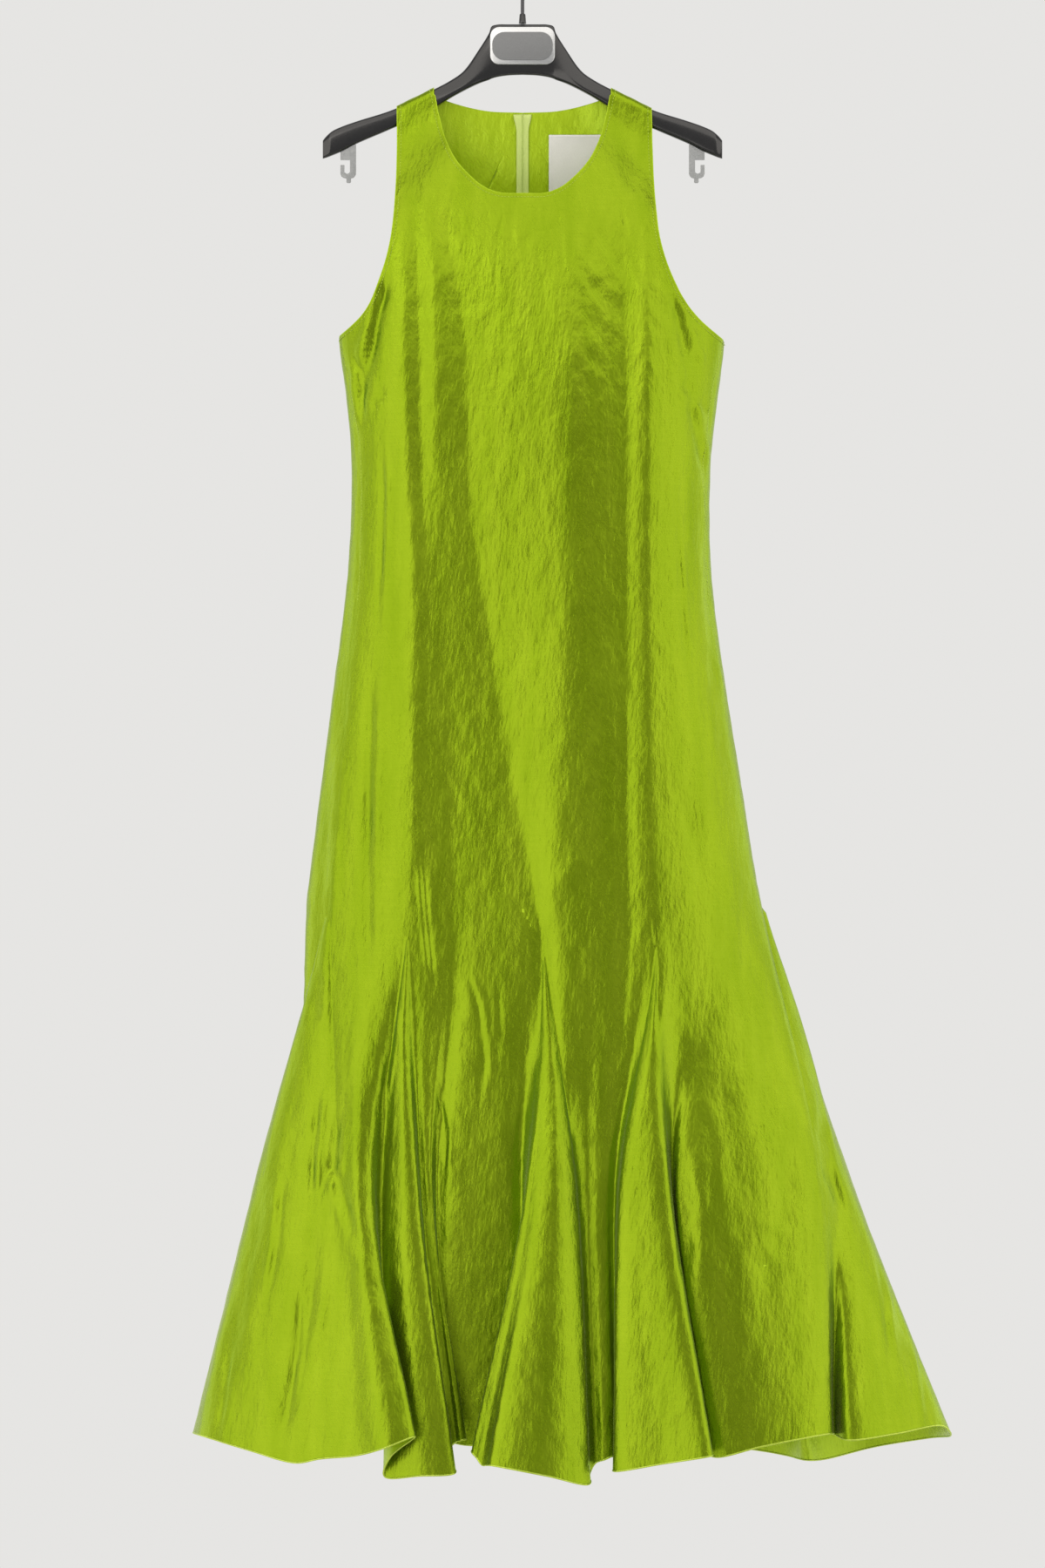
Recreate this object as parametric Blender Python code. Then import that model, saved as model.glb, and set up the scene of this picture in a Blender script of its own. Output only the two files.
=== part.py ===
"""Sleeveless maxi dress with godets, hanging from a moulded dress hanger.

The dress is drafted as one closed ring of cloth that runs from the left side,
round the front, to the right side and back round the back.  Every height of the
ring is worked out from three kinds of table, all in millimetres:

* TORSO gives half widths and depths of the body at a few heights,
* FOLDS gives one row per skirt fold, at the height where the folds bend and at
  the hem,
* GODETS gives one row per flared triangle let into the skirt.

The ring is then cut along its sewing lines into separate walls of cloth.

Axes: +X is the wearer's left in front view (right in the picture), the front of
the dress faces -Y, +Z is up.  The origin is the inner top of the hanger's hook.
"Drop" is a distance below the origin.
"""
import math
from collections import namedtuple

import bmesh
import bpy
import numpy as np
from mathutils import Vector
from mathutils.bvhtree import BVHTree

MM = 0.001

# ---------------------------------------------------------------- driving sizes
CLOTH = 1.2                 # wall of the dress
SEAM_GAP = 0.3              # between two pieces along a sewing line
TIP_SHARE = 0.25            # how far below its apex a godet starts, as a share of a row
SQUARENESS = 2.5            # plan section of the body, 2 is an ellipse
KINK_DROP = 1209.0          # height where the skirt folds bend
ARM_HALF = 5.5              # half thickness of the hanger
STRAP_RADIUS = 6.9          # middle of the strap's wall round the hanger's arm
HOOK_RADIUS = 20.0          # inside of the hook
WIRE_RADIUS = 1.8
YOKE_DIP = 1.9              # how low the yoke's rows stay beside the armhole, 1 is straight
ZIP_LENGTH = 550.0
ZIP_HALF = 6.0              # half the tape that shows inside
TAPE, LABEL = 0.9, 0.7      # their thicknesses
BAND_GAP = 0.6              # between the cloth and what is sewn inside it
SLIDER_HALF, SLIDER_GAP = 3.3, 0.6
PULL_AXIS = 3.1             # pull tab's hinge above the foot of the slider

# Rows and columns of the cloth mesh.
SKIRT_ROWS = 8
TORSO_ROWS = 8
YOKE_ROWS = 8
WRAP_ANGLES = (30.0, 60.0, 88.0)   # degrees round the hanger's arm, 90 is its top

# ------------------------------------------------------------------ body tables
Torso = namedtuple("Torso", "drop left right front back")
TORSO = [
    Torso(137, 178, 196, 9, 10),
    Torso(165, 179, 197, 12, 15),
    Torso(200, 180, 198, 25, 22),
    Torso(250, 181, 199, 40, 32),
    Torso(310, 182, 199, 52, 42),
    Torso(385, 181, 199, 60, 50),
    Torso(446, 173, 192, 64, 52),
    Torso(514, 168, 185, 66, 52),
    Torso(617, 172, 186, 68, 54),
    Torso(720, 185, 199, 72, 58),
    Torso(823, 198, 215, 78, 64),
    Torso(926, 211, 232, 86, 72),
    Torso(990, 220, 250, 92, 78),
]

# Where the side seams and the centre lines run, as turns in degrees:
# -90 is the left side, 0 the front, 90 the right side, 180 the back.
SeamTurn = namedtuple("SeamTurn", "drop left right front back")
SEAM_TURNS = [
    SeamTurn(384, -86, 86, 0.0, 180.0),
    SeamTurn(440, -74, 74, 0.2, 180.0),
    SeamTurn(600, -68, 77, 0.8, 179.8),
    SeamTurn(950, -59, 88, 2.5, 178.8),
]

# Lines down the body over which the cloth turns from one flat to the next, from left
# to right.  A path is a list of (drop, across, rise), where rise is how far the cloth
# stands out beyond the plain body, and soft is the radius of the turn.
FoldLine = namedtuple("FoldLine", "name soft path")
FRONT_LINES = [
    FoldLine("left_side", 10, [(200, -150, 0), (400, -158, 0), (965, -196, 0)]),
    FoldLine("left_crest", 4, [(200, -124, 0), (300, -117, 2.0), (420, -115, 3.5), (640, -116, 4.0),
                               (830, -115, 5.5), (943, -113, 6.0)]),
    FoldLine("streak", 6, [(220, -100, 0), (320, -90, 0.0), (560, -88, -0.5), (700, -84, -0.5),
                           (943, -78, 1.0)]),
    FoldLine("band_edge", 4, [(225, -86, 0), (250, -84, -0.5), (308, -69, -3.5), (394, -52, -5.5),
                              (480, -48, -6.5), (566, -45, -6.5), (652, -34, -6.5), (737, -21, -5.5),
                              (823, -9, -4.5), (909, 9, -2.5), (965, 19, 0)]),
    FoldLine("band_crest", 9, [(255, 51, 0), (308, 51, 4.0), (394, 47, 7.5), (566, 47, 8.5),
                               (652, 43, 8.5), (737, 41, 8.5), (823, 34, 8.0), (909, 27, 7.5),
                               (965, 22, 5.0)]),
    FoldLine("flank", 10, [(240, 84, 0), (320, 84, 1.5), (480, 84, 5.0), (700, 84, 7.0),
                           (900, 80, 7.0), (965, 78, 6.0)]),
    FoldLine("right_fold", 4, [(190, 119, 0), (260, 121, 4.0), (340, 122, 8.0), (500, 122, 11.0),
                               (740, 122, 11.5), (880, 125, 11.5), (965, 129, 11.0)]),
    FoldLine("right_side", 10, [(200, 160, 0), (400, 178, 0), (965, 222, 0)]),
]
BACK_LINES = [
    FoldLine("left_side", 10, [(200, -150, 0), (400, -158, 0), (965, -196, 0)]),
    FoldLine("left_fold", 4, [(200, -116, 0), (300, -110, 5.0), (560, -108, 8.0), (800, -112, 8.5),
                              (950, -118, 7.0)]),
    FoldLine("left_flat", 6, [(220, -84, 0), (340, -78, 1.0), (560, -72, 0.5), (950, -66, 1.0)]),
    FoldLine("left_band", 5, [(230, -50, 0), (340, -44, -2.5), (560, -36, -4.5), (800, -30, -3.0),
                              (950, -24, 0)]),
    FoldLine("seam", 6, [(200, 0, 0), (400, 0, -1.5), (700, 2, -2.0), (975, 4, 0)]),
    FoldLine("right_band", 5, [(230, 40, 0), (340, 44, 4.0), (560, 46, 6.5), (800, 42, 6.0),
                               (950, 36, 3.0)]),
    FoldLine("right_flat", 8, [(220, 82, 0), (340, 84, 1.0), (560, 88, 2.5), (950, 84, 3.5)]),
    FoldLine("right_fold", 4, [(200, 117, 0), (300, 118, 5.0), (560, 120, 9.0), (800, 124, 9.0),
                               (950, 128, 8.0)]),
    FoldLine("right_side", 10, [(200, 160, 0), (400, 178, 0), (965, 222, 0)]),
]

# ----------------------------------------------------------------- skirt tables
# One row per fold, in the ring's own direction: the drop of its hem at its start and
# end, then four points (x, depth) at the kink and four at the hem.  They are the
# fold's start, its middle, its end, and the valley after it.
Fold = namedtuple("Fold", "name start_drop end_drop kink hem")
FOLDS = [
    Fold("side_left", 1459, 1478,
         ((-254, -48), (-226, -70), (-198, -83), (-181, -90)),
         ((-310, -58), (-264, -93), (-219, -113), (-195, -122))),
    Fold("lobe_edge", 1468, 1449,
         ((-172, -96), (-160, -105), (-147, -101), (-137, -86)),
         ((-159, -137), (-131, -153), (-103, -144), (-127, -125))),
    Fold("tube_left", 1492, 1487,
         ((-127, -94), (-114, -103), (-102, -101), (-98, -84)),
         ((-133, -108), (-99, -122), (-65, -118), (-75, -97))),
    Fold("sliver", 1460, 1458,
         ((-93, -89), (-90, -89), (-88, -89), (-83, -82)),
         ((-64, -89), (-60, -91), (-55, -89), (-68, -77))),
    Fold("panel_left", 1466, 1469,
         ((-71, -87), (-42, -88), (-12, -88), (0, -86)),
         ((-58, -66), (-34, -66), (-10, -68), (3, -78))),
    Fold("facet", 1465, 1477,
         ((4, -115), (6, -118), (9, -119), (12, -121)),
         ((-49, -126), (-44, -133), (-39, -138), (-35, -143))),
    Fold("tube_centre", 1476, 1496,
         ((17, -122), (33, -124), (50, -113), (54, -102)),
         ((-30, -147), (24, -153), (64, -134), (65, -118))),
    Fold("panel_centre", 1478, 1472,
         ((62, -97), (72, -98), (82, -97), (90, -94)),
         ((71, -111), (79, -113), (88, -111), (95, -106))),
    Fold("tube_right", 1483, 1466,
         ((95, -115), (112, -122), (130, -125), (135, -96)),
         ((88, -138), (134, -150), (181, -157), (173, -104))),
    Fold("panel_right", 1472, 1452,
         ((150, -104), (195, -107), (284, -71), (296, -58)),
         ((188, -114), (230, -118), (299, -92), (303, -58))),
    Fold("lobe_right", 1458, 1450,
         ((304, -49), (311, -44), (318, -33), (322, 0)),
         ((316, -96), (362, -78), (409, -42), (422, -4))),
    Fold("back_lobe_right", 1477, 1498,
         ((308, 64), (277, 76), (246, 64), (234, 54)),
         ((405, 83), (354, 101), (302, 83), (284, 70))),
    Fold("back_fin_right", 1497, 1490,
         ((220, 79), (202, 85), (184, 79), (172, 64)),
         ((266, 104), (243, 112), (220, 104), (204, 82))),
    Fold("back_tube_right", 1490, 1484,
         ((158, 97), (141, 103), (124, 97), (111, 78)),
         ((190, 129), (164, 139), (138, 129), (122, 94))),
    Fold("back_panel_right", 1476, 1480,
         ((97, 80), (74, 88), (52, 80), (40, 78)),
         ((106, 100), (84, 108), (62, 100), (48, 96))),
    Fold("back_tube_centre", 1488, 1490,
         ((28, 102), (4, 110), (-20, 102), (-34, 80)),
         ((34, 138), (0, 150), (-34, 138), (-50, 98))),
    Fold("back_panel_left", 1478, 1474,
         ((-48, 80), (-69, 88), (-90, 80), (-102, 74)),
         ((-66, 100), (-89, 108), (-112, 100), (-128, 90))),
    Fold("back_tube_left", 1484, 1488,
         ((-114, 95), (-132, 101), (-150, 95), (-164, 66)),
         ((-144, 125), (-170, 135), (-196, 125), (-212, 88))),
    Fold("back_fin_left", 1480, 1474,
         ((-178, 76), (-189, 80), (-200, 76), (-212, 56)),
         ((-226, 97), (-244, 103), (-262, 97), (-274, 74))),
    Fold("back_lobe_left", 1474, 1466,
         ((-224, 46), (-237, 50), (-250, 46), (-261, 8)),
         ((-284, 59), (-298, 65), (-312, 59), (-325, 10))),
]
START, MIDDLE, END, VALLEY = 0, 1, 2, 3      # places inside one fold
GODET_ARCH = 0.3         # near its apex a godet is a plain arch, this share of its width deep
ARCH_UNTIL = 0.12        # share of its way to the hem down to which it is only that

# A godet hangs from its apex between two sewing lines, each named by a fold and
# a place in it.  Share is how far its apex lies from the side seam (0) to the
# centre line (1).
Godet = namedtuple("Godet", "name face side share apex from_fold from_place to_fold to_place"
                            " columns")
GODETS = [
    Godet("godet_side_left", "front", "left", 0.0, 922,
          "back_lobe_left", END, "side_left", VALLEY, 10),
    Godet("godet_front_left", "front", "left", 0.54, 943,
          "lobe_edge", 2.6, "tube_left", 2.6, 8),
    Godet("godet_front_centre", "front", "left", 1.0, 965,
          "panel_left", 3.5, "tube_centre", 2.5, 14),
    Godet("godet_front_right", "front", "right", 0.706, 952,
          "panel_centre", 3.5, "tube_right", 2.5, 8),
    Godet("godet_side_right", "front", "right", 0.0, 913,
          "panel_right", 2.5, "back_lobe_right", MIDDLE, 15),
    Godet("godet_back_right", "back", "right", 0.742, 950,
          "back_fin_right", 3.5, "back_tube_right", 2.5, 7),
    Godet("godet_back_centre", "back", "right", 1.0, 975,
          "back_panel_right", 3.5, "back_tube_centre", 2.5, 7),
    Godet("godet_back_left", "back", "left", 0.761, 950,
          "back_panel_left", 3.5, "back_tube_left", 2.5, 7),
]
BACK_CENTRE = 6             # place of the centre back godet in the table
# The cloth between one godet and the next: which piece it belongs to.
Strip = namedtuple("Strip", "piece face side columns")
STRIPS = [
    Strip("front", "front", "left", 7),
    Strip("front", "front", "left", 15),
    Strip("front", "front", "right", 10),
    Strip("front", "front", "right", 8),
    Strip("back_right", "back", "right", 10),
    Strip("back_right", "back", "right", 9),
    Strip("back_left", "back", "left", 9),
    Strip("back_left", "back", "left", 12),
]

# ------------------------------------------------------- neckline and armholes
# Edges as (distance from the centre, drop), from the lowest point upward.
Edge = namedtuple("Edge", "out drop")
FRONT_NECK = [Edge(0, 245.7), Edge(23, 244.9), Edge(38, 238.9), Edge(51.5, 227.7),
              Edge(66, 210.6), Edge(76.5, 188), Edge(82.5, 165), Edge(87.5, 146.5)]
BACK_NECK = [Edge(0, 160.8), Edge(34, 159.4), Edge(64, 153.2), Edge(80, 148.4), Edge(87.5, 146.5)]
LEFT_ARMHOLE = [Edge(181, 384), Edge(171, 377), Edge(158.7, 366), Edge(147.6, 351), Edge(140, 330),
                Edge(133, 308), Edge(127.8, 282), Edge(124.5, 245), Edge(123.2, 200),
                Edge(123.4, 164)]
RIGHT_ARMHOLE = [Edge(199, 388), Edge(187, 380), Edge(171.6, 367), Edge(158.7, 351),
                 Edge(147.6, 330), Edge(139, 308), Edge(133.5, 285), Edge(129.5, 245),
                 Edge(127.6, 200), Edge(126.8, 166)]

# ----------------------------------------------------------------- hanger table
Arm = namedtuple("Arm", "out top bottom")
HANGER = [
    Arm(0, 75, 124.8), Arm(14, 75, 125.4), Arm(25, 75.2, 127), Arm(30.5, 77, 128.6),
    Arm(33, 83.6, 129.8), Arm(43, 99.9, 133.5), Arm(58.3, 121.3, 141), Arm(72, 131, 148.5),
    Arm(86, 138.5, 157), Arm(126, 158.5, 176.5), Arm(163, 170.5, 192.5), Arm(178.5, 176, 200.4),
    Arm(187, 180, 204), Arm(193, 185, 206.3), Arm(197.5, 190.5, 207.6),
]
BADGE_CENTRE = 94.0         # drop of the badge's middle
BADGE = dict(width=64.0, height=37.0, corner=8.0, depth=2.2)
PLATE = dict(width=60.0, height=28.0, corner=12.0, depth=1.0)
FERRULE_TOP, FERRULE_BOTTOM = 64.8, 74.4
CLIP_OUT, CLIP_TIP = 164.0, 179.4    # a clip's inner and outer side, from the centre
CLIP_HALF = 1.6             # half a clip's thickness
# The clip's outline as (distance from the centre, drop), from the foot of its leg
# round the nub and the lip to the underside of its flange.
CLIP_OUTLINE = [(164.0, 222.3), (166.0, 225.8), (169.0, 226.8), (169.0, 231.3), (173.5, 231.3),
                (173.5, 226.8), (176.4, 226.3), (179.4, 222.3), (179.4, 213.6), (175.4, 213.6),
                (175.4, 220.8), (173.0, 222.3), (170.0, 220.3), (170.0, 208.6), (179.4, 208.6)]

Finish = namedtuple("Finish", "colour roughness metallic")
FINISHES = {
    "taffeta": Finish((0.33, 0.50, 0.022, 1.0), 0.42, 0.0),
    "zip_tape": Finish((0.56, 0.68, 0.18, 1.0), 0.65, 0.0),
    "zip_metal": Finish((0.42, 0.55, 0.08, 1.0), 0.35, 0.4),
    "label_satin": Finish((0.60, 0.60, 0.57, 1.0), 0.35, 0.0),
    "black_plastic": Finish((0.012, 0.012, 0.013, 1.0), 0.28, 0.0),
    "badge_plate": Finish((0.16, 0.165, 0.17, 1.0), 0.45, 0.2),
    "badge_rim": Finish((0.62, 0.63, 0.64, 1.0), 0.22, 0.8),
    "hook_metal": Finish((0.06, 0.06, 0.065, 1.0), 0.3, 0.9),
    "clip_plastic": Finish((0.42, 0.44, 0.45, 1.0), 0.3, 0.0),
}


# -------------------------------------------------------------- small geometry
def mix(a, b, share):
    """Straight blend from a to b."""
    return a + (b - a) * share


def table_value(rows, drop, column):
    """Smooth value of one table column at a drop; drops rise down the table."""
    drops = [row.drop for row in rows]
    values = [getattr(row, column) for row in rows]
    if drop <= drops[0]:
        return values[0]
    if drop >= drops[-1]:
        return values[-1]
    i = max(k for k in range(len(drops) - 1) if drops[k] <= drop)
    share = (drop - drops[i]) / (drops[i + 1] - drops[i])
    step = drops[i + 1] - drops[i]

    def slope(k):
        low, high = max(k - 1, 0), min(k + 1, len(drops) - 1)
        return (values[high] - values[low]) / (drops[high] - drops[low])

    return hermite(values[i], slope(i) * step, values[i + 1], slope(i + 1) * step, share)


def hermite(start, start_slope, end, end_slope, t):
    """Cubic from start to end with the given slopes, at t from 0 to 1."""
    t2, t3 = t * t, t * t * t
    return ((2 * t3 - 3 * t2 + 1) * start + (t3 - 2 * t2 + t) * start_slope
            + (3 * t2 - 2 * t3) * end + (t3 - t2) * end_slope)


def centripetal(p0, p1, p2, p3, t):
    """Smooth curve from p1 to p2 that doesn't overshoot at uneven spacing."""
    d0, d1, d2 = (max(np.linalg.norm(b - a) ** 0.5, 1e-6)
                  for a, b in ((p0, p1), (p1, p2), (p2, p3)))
    slope1 = (p1 - p0) / d0 - (p2 - p0) / (d0 + d1) + (p2 - p1) / d1
    slope2 = (p2 - p1) / d1 - (p3 - p1) / (d1 + d2) + (p3 - p2) / d2
    return hermite(p1, slope1 * d1, p2, slope2 * d1, t)


def power(value, exponent):
    """Signed power, for the squared-off ellipse."""
    return math.copysign(abs(value) ** exponent, value)


def smooth_step(t):
    """0 to 1 with level ends."""
    t = min(max(t, 0.0), 1.0)
    return t * t * (3 - 2 * t)


# ------------------------------------------------------------------ the torso
def fold_rise(face, x, drop):
    """How far the fold lines lift the cloth outward here.

    Each line bends the cloth by the change of slope between its two sides.
    """
    lines = FRONT_LINES if face == "front" else BACK_LINES
    across, rise = [], []
    for line in lines:
        drops, places, rises = zip(*line.path)
        across.append(float(np.interp(drop, drops, places)))
        rise.append(float(np.interp(drop, drops, rises)))
    slopes = [(rise[i + 1] - rise[i]) / (across[i + 1] - across[i]) for i in range(len(lines) - 1)]
    total = 0.0
    for line, place, before, after in zip(lines, across, [0.0] + slopes, slopes + [0.0]):
        total += (after - before) * (x - place + math.hypot(x - place, line.soft)) / 2
    return total


def half_width(x, drop):
    """Half width of the body on the side where x lies."""
    return table_value(TORSO, drop, "right" if x > 0 else "left")


def body_depth(face, x, drop):
    """Depth (y) of the body's front or back at a place in front view."""
    reach = min(abs(x) / half_width(x, drop), 1.0)
    depth = table_value(TORSO, drop, face) * (1 - reach ** SQUARENESS) ** (1 / SQUARENESS)
    depth += fold_rise(face, x, drop) * smooth_step((1 - reach ** SQUARENESS) ** 0.5 / 0.3)
    return -depth if face == "front" else depth


def torso_point(turn, drop):
    """Point of the body at a turn round it."""
    sine, cosine = math.sin(math.radians(turn)), math.cos(math.radians(turn))
    face = "front" if cosine > 0 else "back"
    x = half_width(sine, drop) * power(sine, 2 / SQUARENESS)
    depth = table_value(TORSO, drop, face) * abs(cosine) ** (2 / SQUARENESS)
    depth += fold_rise(face, x, drop) * smooth_step(abs(cosine) / 0.3)
    return np.array((x, -depth if face == "front" else depth, drop))


def column_turn(face, side, share, drop):
    """Turn of a column of cloth, between its side seam and its centre line."""
    seam = table_value(SEAM_TURNS, drop, side)
    centre = table_value(SEAM_TURNS, drop, face)
    if face == "back" and side == "left":
        seam += 360.0
    return mix(seam, centre, share)


# ------------------------------------------------------------------ the skirt
def fold_stations(level):
    """The ring's points at the kink or the hem: four for each fold."""
    stations = []
    for i, fold in enumerate(FOLDS):
        following = FOLDS[(i + 1) % len(FOLDS)]
        drops = [fold.start_drop, mix(fold.start_drop, fold.end_drop, 0.5), fold.end_drop,
                 mix(fold.end_drop, following.start_drop, 0.5)]
        if level == "kink":
            drops = [KINK_DROP] * 4
        stations += [np.array((x, depth, drop)) for (x, depth), drop in zip(getattr(fold, level), drops)]
    return stations


STATIONS = {level: fold_stations(level) for level in ("kink", "hem")}


def ring_point(level, place):
    """Point of the kink ring or the hem at a place counted in stations."""
    points = STATIONS[level]
    i = math.floor(place)
    around = [points[(i + k) % len(points)] for k in (-1, 0, 1, 2)]
    return centripetal(*around, place - i)


def place_of(fold_name, part):
    """Ring place of a part of a named fold."""
    names = [fold.name for fold in FOLDS]
    return names.index(fold_name) * 4 + part


def godet_arch(ends, place):
    """Plain arch at the kink's height between a godet's two sewing lines."""
    first, last = (ring_point("kink", end) for end in ends)
    along = (place - ends[0]) / (ends[1] - ends[0])
    run = last - first
    outward = np.array((run[1], -run[0], 0.0))
    return mix(first, last, along) + outward * GODET_ARCH * 4 * along * (1 - along)


def skirt_point(column, place, fall, ends=None):
    """Point of a skirt column: fall is 0 at the hip line and 1 at the hem.

    A column is (face, side, share, apex drop).  A godet also gives its ends, because
    it widens from a plain arch at its apex to its own folds lower down.
    """
    face, side, share, apex = column
    hip = torso_point(column_turn(face, side, share, apex), apex)
    kink, hem = ring_point("kink", place), ring_point("hem", place)
    if ends:
        kink = mix(godet_arch(ends, place), kink, smooth_step((fall - ARCH_UNTIL) / (0.5 - ARCH_UNTIL)))
    above = torso_point(column_turn(face, side, share, apex - 20), apex - 20)
    body_slope = (hip - above) / 20 * (kink[2] - apex)
    hip_slope = mix(kink - hip, body_slope, 0.5)
    kink_slope = (hem - hip) / 2
    if fall < 0.5:
        return hermite(hip, hip_slope, kink, kink_slope, fall * 2)
    return hermite(kink, kink_slope, hem, hem - kink, fall * 2 - 1)


# --------------------------------------------------- neckline, armholes, straps
def edge_curve(edges, count):
    """Evenly spaced points along an edge table, as (out, drop) pairs."""
    points = [np.array(edge, dtype=float) for edge in edges]
    points = [2 * points[0] - points[1]] + points + [2 * points[-1] - points[-2]]
    dense = [centripetal(*points[i:i + 4], t / 12)
             for i in range(len(points) - 3) for t in range(12)] + [points[-2]]
    lengths = [0.0]
    for a, b in zip(dense, dense[1:]):
        lengths.append(lengths[-1] + float(np.linalg.norm(b - a)))
    wanted = np.linspace(0, lengths[-1], count)
    return [np.array([np.interp(w, lengths, [p[axis] for p in dense]) for axis in (0, 1)])
            for w in wanted]


def arm_top(out):
    """Drop of the hanger arm's top at a distance from the centre."""
    return float(np.interp(abs(out), [arm.out for arm in HANGER], [arm.top for arm in HANGER]))


def strap_point(face, x, angle):
    """Middle of the strap's wall round the hanger's arm."""
    centre = arm_top(x) + ARM_HALF
    lean = math.radians(angle)
    depth = STRAP_RADIUS * math.cos(lean)
    return np.array((x, -depth if face == "front" else depth, centre - STRAP_RADIUS * math.sin(lean)))


def yoke_point(face, side, across, rise):
    """Point above the bust line: across runs from armhole to neck, rise from 0 to 1."""
    armholes = RIGHT_ARMHOLE if side == "right" else LEFT_ARMHOLE
    necks = FRONT_NECK if face == "front" else BACK_NECK
    sign = 1 if side == "right" else -1
    row = round(rise * YOKE_ROWS)
    armhole = edge_curve(armholes, YOKE_ROWS + 1)[row]
    neck = edge_curve(necks, YOKE_ROWS + 1)[row]
    x = sign * mix(armhole[0], neck[0], across)
    drop = mix(armhole[1], neck[1], across ** mix(YOKE_DIP, 1.0, rise))
    depth = body_depth(face, x, drop)
    strap = strap_point(face, x, 0)
    blend = smooth_step((rise - 0.55) / 0.45)
    return np.array((x, mix(depth, strap[1], blend), mix(drop, strap[2], smooth_step((rise - 0.9) / 0.1))))


# ------------------------------------------------------------- cutting the ring
def godet_ends(i):
    """Ring places of a godet's two sewing lines; the first godet starts below 0."""
    godet = GODETS[i]
    first = place_of(godet.from_fold, godet.from_place)
    last = place_of(godet.to_fold, godet.to_place)
    return (first - 4 * len(FOLDS), last) if first > last else (first, last)


def lay_out_cloth():
    """Every point of the ring by name, and every piece as faces between names.

    A point's name is (column, row); rows count down from the hip line, negative
    rows go up the body.  Pieces share the names along their sewing lines.
    """
    points, pieces = {}, {}
    for i, godet in enumerate(GODETS):
        first, last = godet_ends(i)
        places = np.linspace(first, last, godet.columns + 1)
        column = (godet.face, godet.side, godet.share, godet.apex)
        names = [("godet", i, k) for k in range(godet.columns + 1)]
        for name, place in zip(names, places):
            for row in range(1, SKIRT_ROWS + 1):
                points[name + (row,)] = skirt_point(column, place, row / SKIRT_ROWS, (first, last))
        apex = torso_point(column_turn(godet.face, godet.side, godet.share, godet.apex), godet.apex)
        points[("apex", i)] = apex
        middle = points[names[len(names) // 2] + (1,)]
        points[("tip", i)] = mix(apex, middle, TIP_SHARE)
        faces = [(("tip", i), a + (1,), b + (1,)) for a, b in zip(names, names[1:])]
        faces += grid_faces(names, range(1, SKIRT_ROWS + 1))
        pieces[godet.name] = faces

    for i, strip in enumerate(STRIPS):
        before, after = GODETS[i], GODETS[(i + 1) % len(GODETS)]
        first = godet_ends(i)[1]
        last = godet_ends((i + 1) % len(GODETS))[0] + (4 * len(FOLDS) if i == len(STRIPS) - 1 else 0)
        shares = strip_shares(strip, before, after)
        columns = []
        for k in range(strip.columns + 1):
            along = k / strip.columns
            share, apex = mix(*shares, along), mix(before.apex, after.apex, along)
            name = ("strip", i, k)
            columns.append((name, share, apex, mix(first, last, along)))
        add_strip(points, pieces, i, strip, columns)
    return points, pieces


def strip_shares(strip, before, after):
    """Shares at the two ends of a strip; godets on a seam or centre line are 0 or 1."""
    toward_centre = (strip.face, strip.side) in (("front", "left"), ("back", "right"))
    start = before.share if before.share not in (0.0, 1.0) else (0.0 if toward_centre else 1.0)
    end = after.share if after.share not in (0.0, 1.0) else (1.0 if toward_centre else 0.0)
    return start, end


def grid_faces(names, rows):
    """Quads between neighbouring columns, for neighbouring rows."""
    rows = list(rows)
    return [(a + (r,), a + (s,), b + (s,), b + (r,))
            for a, b in zip(names, names[1:]) for r, s in zip(rows, rows[1:])]


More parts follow.
